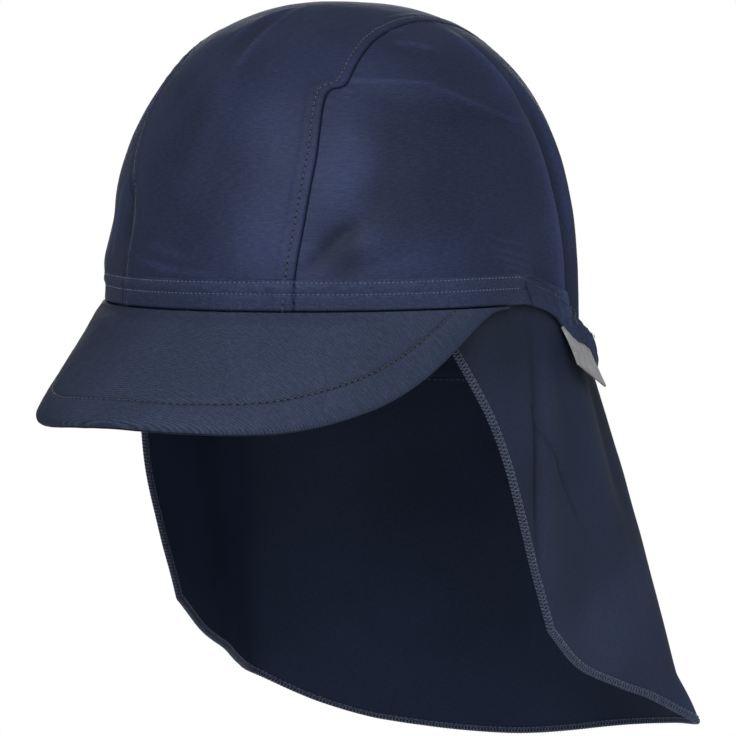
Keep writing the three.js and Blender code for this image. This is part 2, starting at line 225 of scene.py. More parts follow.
def new_mesh_object(name: str, places: np.ndarray, faces: np.ndarray) -> bpy.types.Object:
    """Makes an object at the origin from places in millimetres.

    Args:
        name: Name of the piece.
        places: One row of x, y, z for each point.
        faces: One row of four point numbers for each face.

    Returns:
        The new object, linked to the scene.
    """
    mesh = bpy.data.meshes.new(name)
    mesh.vertices.add(len(places))
    mesh.vertices.foreach_set("co", (places * MILLIMETRE).ravel())
    mesh.loops.add(faces.size)
    mesh.loops.foreach_set("vertex_index", faces.ravel().astype(np.int32))
    mesh.polygons.add(len(faces))
    mesh.polygons.foreach_set("loop_start", np.arange(0, faces.size, 4, dtype=np.int32))
    mesh.polygons.foreach_set("use_smooth", np.ones(len(faces), bool))
    mesh.update(calc_edges=True)
    mesh.validate()
    piece = bpy.data.objects.new(name, mesh)
    bpy.context.scene.collection.objects.link(piece)
    return piece


def weld(piece: bpy.types.Object, sharp_degrees: float = 55.0) -> None:
    """Merges points that coincide and keeps crisp edges crisp.

    Args:
        piece: The piece to mend.
        sharp_degrees: Turn between two faces above which their edge is sharp.
    """
    work = bmesh.new()
    work.from_mesh(piece.data)
    bmesh.ops.remove_doubles(work, verts=work.verts, dist=2e-6)
    bmesh.ops.dissolve_degenerate(work, edges=work.edges, dist=1e-7)
    work.to_mesh(piece.data)
    work.free()
    piece.data.set_sharp_from_angle(angle=math.radians(sharp_degrees))


def cloth_shell(
    name: str,
    outer: np.ndarray,
    inner: np.ndarray,
    finishes: Sequence[bpy.types.Material],
    shade: Optional[np.ndarray] = None,
    uv: Optional[np.ndarray] = None,
    stretch: Optional[np.ndarray] = None,
) -> bpy.types.Object:
    """Closed shell between two grids of places, with a UV map in metres of cloth.

    Args:
        name: Name of the piece.
        outer: Grid of places on the outer face.
        inner: Grid of places on the inner face.
        finishes: Material of the outer face and of the inner face.
        shade: Painted shade of a seam's groove at each place, 0 to 1.
        uv: Own pattern coordinates in millimetres, or None for distances along the grid.
        stretch: How light the cloth's tone is at each place, 0 to 1: partly the lighter tone of stretched
            cloth, partly painted light and painted shade.

    Returns:
        The piece.
    """
    rows, columns = outer.shape[:2]
    number = np.arange(rows * columns).reshape(rows, columns)
    back = number + rows * columns
    around = np.stack([number[:-1, :-1], number[:-1, 1:], number[1:, 1:], number[1:, :-1]], -1).reshape(-1, 4)
    under = np.stack([back[:-1, :-1], back[1:, :-1], back[1:, 1:], back[:-1, 1:]], -1).reshape(-1, 4)
    rims = [
        np.stack([number[:-1, 0], number[1:, 0], back[1:, 0], back[:-1, 0]], -1),
        np.stack([number[:-1, -1], back[:-1, -1], back[1:, -1], number[1:, -1]], -1),
        np.stack([number[0, :-1], back[0, :-1], back[0, 1:], number[0, 1:]], -1),
        np.stack([number[-1, :-1], number[-1, 1:], back[-1, 1:], back[-1, :-1]], -1),
    ]
    faces = np.concatenate([around, under] + rims)
    places = np.concatenate([outer.reshape(-1, 3), inner.reshape(-1, 3)])
    corner = places[faces]
    volume = np.einsum("ij,ij->i", corner[:, 0], np.cross(corner[:, 1], corner[:, 2])).sum()
    volume += np.einsum("ij,ij->i", corner[:, 0], np.cross(corner[:, 2], corner[:, 3])).sum()
    if volume < 0.0:
        faces = faces[:, ::-1]
    piece = new_mesh_object(name, places, np.ascontiguousarray(faces))
    if uv is None:
        middle = columns // 2
        along = run_along(outer, 1)
        down = run_along(outer, 0)[:, middle : middle + 1]
        uv = np.stack([along - along[:, middle : middle + 1], np.broadcast_to(down, along.shape)], -1)
    flat = np.concatenate([uv.reshape(-1, 2)] * 2) * MILLIMETRE
    mesh = piece.data
    corners = np.empty(len(mesh.loops), np.int32)
    mesh.loops.foreach_get("vertex_index", corners)
    mesh.uv_layers.new(name=UV_NAME).data.foreach_set("uv", flat[corners].ravel())
    for attribute, values in ((SHADE_NAME, shade), (PAINTED_LIGHT_TONE_NAME, stretch)):
        both = np.zeros(rows * columns * 2)
        if values is not None:
            both[: rows * columns] = np.broadcast_to(values, (rows, columns)).ravel()
        mesh.attributes.new(attribute, "FLOAT", "POINT").data.foreach_set("value", both)
    for finish in finishes:
        mesh.materials.append(finish)
    inside = np.zeros(len(mesh.polygons), np.int32)
    inside[len(around) : len(around) + len(under)] = len(finishes) - 1
    mesh.polygons.foreach_set("material_index", inside)
    weld(piece)
    return piece


def grid_normals(sheet: np.ndarray) -> np.ndarray:
    """Normals of a grid of places, by its own neighbours.

    Args:
        sheet: Grid of places.

    Returns:
        Unit normals, one for each place.
    """
    return unit(np.cross(np.gradient(sheet, axis=0), np.gradient(sheet, axis=1)))


def seat_piece(piece: bpy.types.Object, nodes: Sequence[str] = ()) -> bpy.types.Object:
    """Makes a finished piece ride on the cap and stand for the solids that it replaces.

    Args:
        piece: The finished piece.
        nodes: Solids that it replaces.

    Returns:
        The piece.
    """
    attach(piece, "root")
    if nodes:
        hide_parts(*nodes)
    triangles = sum(len(face.vertices) - 2 for face in piece.data.polygons)
    log.info("%s: %d triangles, stands for %s", piece.name, triangles, ", ".join(nodes) or "nothing")
    return piece


# ---- Finishes


def linear_colour(code: str) -> tuple[float, float, float, float]:
    """Turns an sRGB hex colour to linear values.

    Args:
        code: Six hex digits.

    Returns:
        Red, green, blue and alpha, linear.
    """
    parts = [int(code[i : i + 2], 16) / 255.0 for i in (0, 2, 4)]
    red, green, blue = (c / 12.92 if c <= 0.04045 else ((c + 0.055) / 1.055) ** 2.4 for c in parts)
    return (red, green, blue, 1.0)


def add_node(
    tree: bpy.types.NodeTree, kind: str, inputs: Optional[dict] = None, **settings
) -> bpy.types.Node:
    """Adds a node, with its settings, and fills or links its inputs.

    Args:
        tree: Where the node goes.
        kind: Blender's name for the kind of node.
        inputs: Value or output socket for each input, by name or number.
        **settings: Values of the node's own properties.

    Returns:
        The node.
    """
    node = tree.nodes.new(kind)
    for name, value in settings.items():
        setattr(node, name, value)
    for name, value in (inputs or {}).items():
        if isinstance(value, bpy.types.NodeSocket):
            tree.links.new(value, node.inputs[name])
        else:
            node.inputs[name].default_value = value
    return node


def new_material(name: str) -> bpy.types.Material:
    """Makes an empty material that uses nodes.

    Args:
        name: Its name.

    Returns:
        The material.
    """
    material = bpy.data.materials.new(name)
    material.use_nodes = True
    material.node_tree.nodes.clear()
    return material


@dataclass(frozen=True)
class KnitFinish:
    """Polyamide swim knit: short streaks along its courses, a faint sheen and slow changes of tone.

    The real courses are about 0.3 mm apart, which is finer than the render can show, so the streaks are
    drawn streak_mm apart instead, and the clearer lines of the cloth over the pad line_mm apart.
    """

    name: str
    colour: str
    light_colour: str
    streak_mm: float = 0.5
    streak_length_mm: float = 2.4
    streak_contrast: float = 0.2
    speckle_mm: float = 0.55
    speckle_contrast: float = 0.16
    line_mm: float = 0.83
    line_contrast: float = 0.0
    tone_size_mm: float = 38.0
    tone_contrast: float = 0.1
    roughness: float = 0.62
    gloss: float = 0.16
    sheen: float = 0.03
    bump_mm: float = 0.03

    def build(self) -> bpy.types.Material:
        """Builds the material.

        Returns:
            The material, read from the cloth's UV map and its own attributes.
        """
        material = new_material(self.name)
        tree = material.node_tree
        uv = add_node(tree, "ShaderNodeUVMap", uv_map=UV_NAME).outputs["UV"]
        place = add_node(tree, "ShaderNodeTexCoord").outputs["Object"]
        along = add_node(
            tree,
            "ShaderNodeMapping",
            {
                "Vector": uv,
                "Scale": (
                    1.0 / (self.streak_length_mm * MILLIMETRE),
                    1.0 / (self.streak_mm * MILLIMETRE),
                    1.0,
                ),
            },
        ).outputs["Vector"]
        streak = add_node(
            tree, "ShaderNodeTexNoise", {"Vector": along, "Scale": 1.0, "Detail": 2.0, "Roughness": 0.6}
        ).outputs["Fac"]
        speckle = add_node(
            tree,
            "ShaderNodeTexNoise",
            {"Vector": place, "Scale": 1.0 / (self.speckle_mm * MILLIMETRE), "Detail": 2.0, "Roughness": 0.6},
        ).outputs["Fac"]
        tone = add_node(
            tree,
            "ShaderNodeTexNoise",
            {
                "Vector": place,
                "Scale": 1.0 / (self.tone_size_mm * MILLIMETRE),
                "Detail": 2.5,
                "Roughness": 0.55,
            },
        ).outputs["Fac"]
        down = add_node(tree, "ShaderNodeSeparateXYZ", {0: uv}).outputs["Y"]
        sway = add_node(
            tree, "ShaderNodeTexNoise", {"Vector": place, "Scale": 1.0 / (7.0 * MILLIMETRE), "Detail": 2.0}
        ).outputs["Fac"]
        turns = 2.0 * math.pi / (self.line_mm * MILLIMETRE)
        angle = add_node(tree, "ShaderNodeMath", {0: down, 1: turns}, operation="MULTIPLY").outputs[0]
        wander = add_node(tree, "ShaderNodeMath", {0: sway, 1: 6.0, 2: angle}, operation="MULTIPLY_ADD")
        course = add_node(tree, "ShaderNodeMath", {0: wander.outputs[0]}, operation="SINE").outputs[0]
        factors = []
        for value, low, high, contrast in (
            (streak, 0.3, 0.7, self.streak_contrast),
            (speckle, 0.3, 0.7, self.speckle_contrast),
            (course, -1.0, 1.0, self.line_contrast),
            (tone, 0.33, 0.67, self.tone_contrast),
        ):
            ranged = {0: value, 1: low, 2: high, 3: 1.0 - contrast, 4: 1.0 + contrast}
            factors.append(add_node(tree, "ShaderNodeMapRange", ranged).outputs[0])
        # Painted shade in seam grooves and stitch lines darkens the colour.
        painted_seam_shade = add_node(tree, "ShaderNodeAttribute", attribute_name=SHADE_NAME).outputs["Fac"]
        seam_unshaded_share = add_node(tree, "ShaderNodeMath", {0: painted_seam_shade, 1: -0.85, 2: 1.0}, operation="MULTIPLY_ADD")
        factors.append(seam_unshaded_share.outputs[0])
        light = factors[0]
        for factor in factors[1:]:
            light = add_node(tree, "ShaderNodeMath", {0: light, 1: factor}, operation="MULTIPLY").outputs[0]
        # Tone between the darker and the lighter colour: stretch tone with painted light and painted shade.
        stretch = add_node(tree, "ShaderNodeAttribute", attribute_name=PAINTED_LIGHT_TONE_NAME).outputs["Fac"]
        cloth = add_node(
            tree,
            "ShaderNodeMix",
            {"Factor": stretch, 6: linear_colour(self.colour), 7: linear_colour(self.light_colour)},
            data_type="RGBA",
            clamp_factor=False,
        ).outputs[2]
        colour = add_node(
            tree, "ShaderNodeVectorMath", {0: cloth, "Scale": light}, operation="SCALE"
        ).outputs[0]
        relief = add_node(tree, "ShaderNodeMath", {0: streak, 1: speckle}, operation="ADD").outputs[0]
        bump = add_node(
            tree,
            "ShaderNodeBump",
            {"Height": relief, "Strength": 0.7, "Distance": self.bump_mm * MILLIMETRE},
        ).outputs["Normal"]
        shader = add_node(
            tree,
            "ShaderNodeBsdfPrincipled",
            {
                "Base Color": colour,
                "Roughness": self.roughness,
                "IOR": 1.45,
                "Specular IOR Level": self.gloss,
                "Sheen Weight": self.sheen,
                "Sheen Roughness": 0.5,
                "Sheen Tint": linear_colour("8c9cc8"),
                "Normal": bump,
            },
        ).outputs["BSDF"]
        add_node(tree, "ShaderNodeOutputMaterial", {"Surface": shader})
        return material


@dataclass(frozen=True)
class ThreadFinish:
    """Textured polyester sewing thread: matt, slightly hairy, with a twist too fine to show."""

    name: str
    colour: str
    light_colour: str
    roughness: float = 0.7

    def build(self) -> bpy.types.Material:
        """Builds the material.

        Returns:
            The material, with its tone changing from stitch to stitch.
        """
        material = new_material(self.name)
        tree = material.node_tree
        place = add_node(tree, "ShaderNodeTexCoord").outputs["Object"]
        tone = add_node(
            tree, "ShaderNodeTexNoise", {"Vector": place, "Scale": 1.0 / (1.6 * MILLIMETRE), "Detail": 2.0}
        ).outputs["Fac"]
        spread = add_node(tree, "ShaderNodeMapRange", {0: tone, 1: 0.3, 2: 0.7}).outputs[0]
        colour = add_node(
            tree,
            "ShaderNodeMix",
            {"Factor": spread, 6: linear_colour(self.colour), 7: linear_colour(self.light_colour)},
            data_type="RGBA",
        ).outputs[2]
        shader = add_node(
            tree,
            "ShaderNodeBsdfPrincipled",
            {"Base Color": colour, "Roughness": self.roughness, "IOR": 1.5, "Specular IOR Level": 0.3,
             "Sheen Weight": 0.3},
        ).outputs["BSDF"]
        add_node(tree, "ShaderNodeOutputMaterial", {"Surface": shader})
        return material


@dataclass(frozen=True)
class SatinTapeFinish:
    """Woven polyester satin tape: silver grey, smooth across its floats, with a fine edge."""

    name: str
    colour: str
    light_colour: str
    thread_mm: float = 0.55
    roughness: float = 0.38

    def build(self) -> bpy.types.Material:
        """Builds the material.

        Returns:
            The material, with the floats of the weave along the tape.
        """
        material = new_material(self.name)
        tree = material.node_tree
        uv = add_node(tree, "ShaderNodeUVMap", uv_map=UV_NAME).outputs["UV"]
        parts = add_node(tree, "ShaderNodeSeparateXYZ", {0: uv}).outputs
        turns = 2.0 * math.pi / (self.thread_mm * MILLIMETRE)
        angle = add_node(tree, "ShaderNodeMath", {0: parts["Y"], 1: turns}, operation="MULTIPLY").outputs[0]
        wave = add_node(tree, "ShaderNodeMath", {0: angle}, operation="SINE").outputs[0]
        place = add_node(tree, "ShaderNodeTexCoord").outputs["Object"]
        tone = add_node(
            tree, "ShaderNodeTexNoise", {"Vector": place, "Scale": 1.0 / (3.0 * MILLIMETRE), "Detail": 3.0}
        ).outputs["Fac"]
        mixed = add_node(
            tree, "ShaderNodeMath", {0: wave, 1: 0.18, 2: tone}, operation="MULTIPLY_ADD"
        ).outputs[0]
        spread = add_node(tree, "ShaderNodeMapRange", {0: mixed, 1: 0.25, 2: 0.75}).outputs[0]
        colour = add_node(
            tree,
            "ShaderNodeMix",
            {"Factor": spread, 6: linear_colour(self.colour), 7: linear_colour(self.light_colour)},
            data_type="RGBA",
        ).outputs[2]
        bump = add_node(
            tree, "ShaderNodeBump", {"Height": wave, "Strength": 0.5, "Distance": 0.03 * MILLIMETRE}
        ).outputs["Normal"]
        shader = add_node(
            tree,
            "ShaderNodeBsdfPrincipled",
            {
                "Base Color": colour,
                "Roughness": self.roughness,
                "IOR": 1.5,
                "Sheen Weight": 0.15,
                "Normal": bump,
            },
        ).outputs["BSDF"]
        add_node(tree, "ShaderNodeOutputMaterial", {"Surface": shader})
        return material


@dataclass
class Wardrobe:
    """Every finish of the cap, each built once."""

    crown: bpy.types.Material
    band: bpy.types.Material
    peak: bpy.types.Material
    flap: bpy.types.Material
    inside: bpy.types.Material
    thread: bpy.types.Material
    seam_thread: bpy.types.Material
    peak_thread: bpy.types.Material
    edge_thread: bpy.types.Material
    needle_hole: bpy.types.Material
    tape: bpy.types.Material

    @classmethod
    def build(cls) -> "Wardrobe":
        """Builds every finish.

        Returns:
            The finishes.
        """
        return cls(
            crown=KnitFinish("navy_swim_knit_stretched", "1b2336", "293250").build(),
            band=KnitFinish("navy_swim_knit_turned", "222b41", "2f3955", speckle_contrast=0.3).build(),
            peak=KnitFinish(
                "navy_swim_knit_over_pad",
                "141c2e",
                "2f374b",
                line_contrast=0.2,
                speckle_contrast=0.22,
                gloss=0.06,
                sheen=0.0,
            ).build(),
            flap=KnitFinish("navy_swim_knit_hanging", "171e2d", "283249", streak_contrast=0.12).build(),
            inside=KnitFinish(
                "navy_swim_knit_wrong_side", "1a2337", "313c57", streak_contrast=0.1, gloss=0.08
            ).build(),
            thread=ThreadFinish("navy_sewing_thread", "35405b", "4f5c79").build(),
            seam_thread=ThreadFinish("navy_topstitch_thread", "263048", "37435f").build(),
            peak_thread=ThreadFinish("dark_navy_edge_thread", "1d2538", "2c374e").build(),
            edge_thread=ThreadFinish("navy_overlock_thread", "28334a", "444f69").build(),
            # A near-black lens finish: painted shade in the needle holes.
            needle_hole=ThreadFinish("shadowed_needle_hole", "06090f", "0a0e18", roughness=0.95).build(),
            tape=SatinTapeFinish("silver_grey_satin_tape", "5f6065", "97979b").build(),
        )


# ---- The form that every piece is cut to


class Fold(NamedTuple):
    """A fold in the crown between two places, with its width and height as shares."""

    around: float
    up: float
    to_around: float
    to_up: float
    width: float
    height: float


class PaintedLightZone(NamedTuple):
    """A soft patch on the crown's cloth, lighter as stretch tone and painted light where its tone is
    positive, darker as painted shade where it is negative: middle and spreads in degrees, and tone.
    """

    around: float
    up: float
    wide: float
    high: float
    tone: float


@dataclass(frozen=True)
class CapForm:
    """Form of the crown and the line of the rim."""

    half_width: float = 70.5
    front_reach: float = 84.0
    rear_reach: float = 94.0
    crown_height: float = 96.0
    crown_lean: float = 1.5
    plan_power: float = 1.93
    profile_power: float = 2.38
    rim_lift: float = 2.0
    nape_drop: float = 30.0
    drop_start: float = 85.0
    drop_end: float = 150.0
    band_height: float = 9.5
    casing_height: float = 10.0
    band_end: float = 89.0
    casing_bulge: float = 6.4
    bulge_centre: float = 126.0
    bulge_spread: float = 26.0
    bulge_at_nape: float = 0.2
    bulge_roundness: float = 0.5
    sag_depth: float = 4.2
    sag_around: float = 108.5
    sag_spread: float = 5.2
    fold_width: float = 8.0
    fold_height: float = 1.5
    broad_folds: tuple[Fold, ...] = (
        Fold(94, 68, 106, -4, 0.7, 1.1),
        Fold(112, 52, 114, -6, 0.6, -0.9),
        Fold(119, 56, 123, -8, 0.7, 1.0),
        Fold(34, 50, 100, 48, 0.6, 0.5),
        Fold(34, 45, 84, 43, 0.8, -0.4),
        Fold(54, 62, 74, 61, 0.5, 0.4),
        Fold(27, 10, 46, 31, 0.9, -0.6),
        Fold(-5, 45, -10, 27, 1.0, -0.5),
        Fold(2, 76, 0, 52, 0.6, 0.4),
        Fold(-6, 71, -14, 58, 0.6, 0.4),
        Fold(76, 16, 92, 8, 0.6, 0.5),
        Fold(-28, 9, -60, 12, 0.7, 0.6),
        Fold(-34, 20, -62, 23, 0.8, -0.6),
        Fold(-104, 50, -108, -4, 0.8, 0.9),
        Fold(-124, 44, -122, -8, 0.8, 0.9),
        Fold(148, 30, 150, -12, 0.8, 0.7),
        Fold(172, 26, 170, -12, 0.9, 0.6),
        Fold(-152, 32, -150, -12, 0.8, 0.7),
    )
    fine_folds: tuple[Fold, ...] = (
        Fold(29, 50.6, 68, 51.8, 0.1, 0.4),
        Fold(56, 52.0, 104, 42, 0.11, 0.42),
        Fold(30, 48.6, 100, 43, 0.4, -0.26),
        Fold(50, 62.5, 76, 60, 0.1, 0.36),
        Fold(44, 65.5, 66, 66, 0.1, 0.26),
        Fold(50, 60.8, 76, 57.6, 0.24, -0.16),
        Fold(23, 8, 38, 22, 0.34, -0.62),
        Fold(24, 12, 44, 19, 0.4, 0.3),
        Fold(30, 9, 52, 15, 0.34, -0.26),
        Fold(70, 16.5, 92, 12, 0.08, 0.2),
        Fold(72, 14.5, 94, 9.5, 0.08, 0.22),
        Fold(74, 12.5, 96, 7.5, 0.08, 0.2),
        Fold(76, 10.5, 97, 5.5, 0.08, 0.2),
        Fold(70, 19, 90, 15.5, 0.08, 0.16),
        Fold(6, 80, -1, 48, 0.11, 0.5),
        Fold(-3, 77, -14, 52, 0.12, 0.5),
        Fold(2, 74, -4, 52, 0.3, -0.3),
        Fold(-52, 30, -51, 8, 0.26, -0.7),
        Fold(-58, 26, -60, 9, 0.3, 0.6),
        Fold(-1, 72, -8, 50, 0.5, -0.35),
        Fold(-10, 66, -20, 34, 0.5, -0.3),
        Fold(-24, 30, -22, 12, 0.28, -0.7),
        Fold(-30, 30, -30, 10, 0.3, 0.4),
        Fold(-20, 12, -4, 9, 0.16, 0.24),
        Fold(-16, 15, 2, 11, 0.16, 0.2),
        Fold(-12, 9.6, 8, 8.2, 0.16, 0.22),
        Fold(94, 69, 103, 44, 0.32, 0.62),
        Fold(103, 50, 105, 0, 0.34, 0.66),
        Fold(102, 66, 110, 42, 0.4, -0.7),
        Fold(110, 50, 112, 0, 0.45, -0.8),
        Fold(116, 60, 118, 8, 0.3, 0.5),
        Fold(85, 9, 104, 2, 0.6, -0.4),
        Fold(30, 44, 60, 38, 0.5, -0.16),
        Fold(50, 40, 40, 24, 0.6, -0.16),
    )
    # Painted light on the crests of folds and painted shade in their valleys, scaled by the folds' heights.
    crest_painted_light: float = 0.95
    valley_painted_shade: float = 0.34
    broad_fold_painted_light: float = 0.12
    # Patches of the crown's tone: partly the lighter tone of stretched cloth, partly painted light and
    # painted shade.
    painted_light_zones: tuple[PaintedLightZone, ...] = (
        PaintedLightZone(34, 33, 8, 13, 0.75),
        PaintedLightZone(18, 28, 9, 20, 0.35),
        PaintedLightZone(15, 13, 12, 8, 0.45),
        PaintedLightZone(-6, 40, 6, 16, -0.15),
        PaintedLightZone(-1, 42, 5, 14, 0.2),
        PaintedLightZone(48, 52, 12, 6, 0.3),
        PaintedLightZone(47, 13, 16, 5, 0.4),
        PaintedLightZone(33, 15, 5, 4.5, -0.75),
        PaintedLightZone(45, 24, 7, 8, -0.3),
        PaintedLightZone(60, 35, 16, 16, -0.2),
        PaintedLightZone(107, 30, 7, 40, 0.3),
    )

    def painted_light_and_stretch_tone(self, points: np.ndarray) -> np.ndarray:
        """How light the crown's cloth is.

        The patches are set after the photo, where it shows the cloth lighter or darker: partly the stretched
        cloth's lighter tone, partly painted light and painted shade. Fold crests get painted light and their
        valleys painted shade.

        Args:
            points: Places on the form.

        Returns:
            The tone there, 0 for the cloth's darker colour and 1 for its lighter one.
        """
        around = np.degrees(np.arctan2(points[..., 0], -points[..., 1]))
        up = np.degrees(np.arctan2(points[..., 2], np.hypot(points[..., 0], points[..., 1])))
        tone = np.full(around.shape, 0.3)
        for zone in self.painted_light_zones:
            off = ((around - zone.around) / zone.wide) ** 2 + ((up - zone.up) / zone.high) ** 2
            tone += zone.tone * np.exp(-off)
        # Fine folds: painted light on crests, painted shade in valleys; broad folds the same, weaker.
        relief = self.fold_relief(points, self.fine_folds)
        tone += np.where(relief > 0.0, self.crest_painted_light, self.valley_painted_shade) * relief
        tone += self.broad_fold_painted_light * self.fold_relief(points, self.broad_folds)
        return np.clip(tone + 0.08 * cloth_wave(points, 26.0, 15), 0.0, 1.6)

    def level(self, points: np.ndarray) -> np.ndarray:
        """Level of the form: 1 on the outer skin, less inside.

        Args:
            points: Places.

        Returns:
            One level for each place.
        """
        x, y, z = np.moveaxis(points, -1, 0)
        reach = np.where(y < 0.0, self.front_reach, self.rear_reach)
        plan = np.abs(x / self.half_width) ** self.plan_power + np.abs(y / reach) ** self.plan_power
        rise = np.maximum(z, 0.0) / self.crown_height
        return plan ** (self.profile_power / self.plan_power) + rise**self.profile_power

    def meet(self, origin: np.ndarray, direction: np.ndarray) -> np.ndarray:
        """Points where rays from inside the form meet its skin.

        Args:
            origin: Where the rays start.
            direction: Where they go.

        Returns:
            The points.
        """
        origin, direction = np.broadcast_arrays(origin, direction)
        near = np.zeros(origin.shape[:-1])
        far = np.full(origin.shape[:-1], 2.0 * (self.crown_height + self.rear_reach))
        for _ in range(40):
            middle = (near + far) / 2.0
            inside = self.level(origin + direction * middle[..., None]) < 1.0
            near = np.where(inside, middle, near)
            far = np.where(inside, far, middle)
        return origin + direction * near[..., None]

    def normal(self, points: np.ndarray) -> np.ndarray:
        """Outward normals of the form.

        Args:
            points: Places on its skin.

        Returns:
            Unit normals.
        """
        step = 0.01
        slopes = []
        for axis in range(3):
            shift = np.zeros(3)
            shift[axis] = step
            slopes.append(self.level(points + shift) - self.level(points - shift))
        return unit(np.stack(slopes, -1))

    def off(self, points: np.ndarray, distance: np.ndarray) -> np.ndarray:
        """Moves points on the form out by a distance and adds the crown's lean.

        Args:
            points: Places on the form.
            distance: How far out each goes.

        Returns:
            The moved places.
        """
        moved = points + self.normal(points) * np.asarray(distance)[..., None]
        moved[..., 1] += self.crown_lean * np.maximum(points[..., 2], 0.0) / self.crown_height
        return moved

    def fold_relief(self, points: np.ndarray, folds: Sequence[Fold]) -> np.ndarray:
        """Height that a table of folds adds at points on the form.

        Args:
            points: Places on the form.
            folds: The folds to add.

        Returns:
            One height for each place, positive outwards.
        """
        around = np.degrees(np.arctan2(points[..., 0], -points[..., 1]))
        up = np.degrees(np.arctan2(points[..., 2], np.hypot(points[..., 0], points[..., 1])))
        reach = np.linalg.norm(points, axis=-1) * math.radians(1.0)
        shrink = np.cos(np.radians(up))
        height = np.zeros(around.shape)
        for fold in folds:
            along_x = (fold.to_around - fold.around) * shrink
            along_y = fold.to_up - fold.up
            off_x = (around - fold.around) * shrink
            off_y = up - fold.up
            t = np.clip((off_x * along_x + off_y * along_y) / (along_x**2 + along_y**2), 0.0, 1.0)
            distance = reach * np.hypot(off_x - t * along_x, off_y - t * along_y)
            fade = ease(t, 0.0, 0.3)
            if fold.to_up > 0:
                fade = fade * ease(1.0 - t, 0.0, 0.3)
            across = bell(distance, 0.0, fold.width * self.fold_width)
            height += fold.height * self.fold_height * fade * across
        return height

    def crown_relief(self, points: np.ndarray) -> np.ndarray:
        """Height of all folds and of the cloth's own unevenness.

        Args:
            points: Places on the form.

        Returns:
            One height for each place.
        """
        height = self.fold_relief(points, self.broad_folds) + self.fold_relief(points, self.fine_folds)
        return height + 0.16 * cloth_wave(points, 34.0, 11) + 0.03 * cloth_wave(points, 9.0, 12)

    def turn(self, around: np.ndarray) -> np.ndarray:
        """Degrees from the front, on whichever side is nearer.

        Args:
            around: Degrees round the head, below -180 or above 180 too.

        Returns:
            The same place between 0 and 180.
        """
        size = np.abs(around)
        return np.where(size > 180.0, 360.0 - size, size)

    def sag(self, around: np.ndarray) -> np.ndarray:
        """How far the casing's lower edge is pulled down beside the label."""
        return self.sag_depth * bell(around, self.sag_around, self.sag_spread)

    def rim(self, around: np.ndarray) -> np.ndarray:
        """Height of the rim's lower edge.

        Args:
            around: Degrees round the head.

        Returns:
            The height there.
        """
        drop = self.nape_drop * ease(self.turn(around), self.drop_start, self.drop_end)
        return self.rim_lift - drop - self.sag(around)

    def hem(self, around: np.ndarray) -> np.ndarray:
        """Height of the band or casing above the rim's lower edge.

        Args:
            around: Degrees round the head.

        Returns:
            The height there.
        """
        fall = ease(self.turn(around), self.drop_start, self.drop_end)
        return lerp(self.band_height, self.casing_height, fall) + self.sag(around)

    def foot(self, around: np.ndarray) -> np.ndarray:
        """Height where the crown meets the band or the casing.

        Args:
            around: Degrees round the head.

        Returns:
            The height there.
        """
        return self.rim(around) + self.hem(around)

    def at(self, around: np.ndarray, height: np.ndarray) -> np.ndarray:
        """Points of the form at places round the head and heights.

        Args:
            around: Degrees round the head.
            height: Heights.

        Returns:
            The points.
        """
        around, height = np.broadcast_arrays(np.asarray(around, float), np.asarray(height, float))
        turned = np.radians(around)
        zero = np.zeros(around.shape)
        direction = np.stack([np.sin(turned), -np.cos(turned), zero], -1)
        return self.meet(np.stack([zero, zero, height], -1), direction)

    def bulge(self, around: np.ndarray, above: np.ndarray) -> np.ndarray:
        """How far the gathered casing stands out, largest at its lower edge.

        Args:
            around: Degrees round the head.
            above: Heights above the rim.

        Returns:
            The distance there.
        """
        turn = self.turn(around)
        stretch = np.maximum(bell(turn, self.bulge_centre, self.bulge_spread), self.bulge_at_nape)
        begin = ease(turn, self.band_end, self.band_end + self.bulge_spread / 2.0)
        fall = 1.0 - np.clip(above / self.hem(around), 0.0, 1.0)
        return self.casing_bulge * stretch * begin * ease(fall, -self.bulge_roundness, 1.0 - 0.2 * fall)


# ---- Sewing


@dataclass(frozen=True)
class StitchRow:
    """One row of stitches: how long and thick each is and how far apart."""

    pitch: float
    length: float
    thickness: float
    lift: float = 0.0
    # Size of the dark lens painted as shade in each needle hole.
    hole: float = 0.4


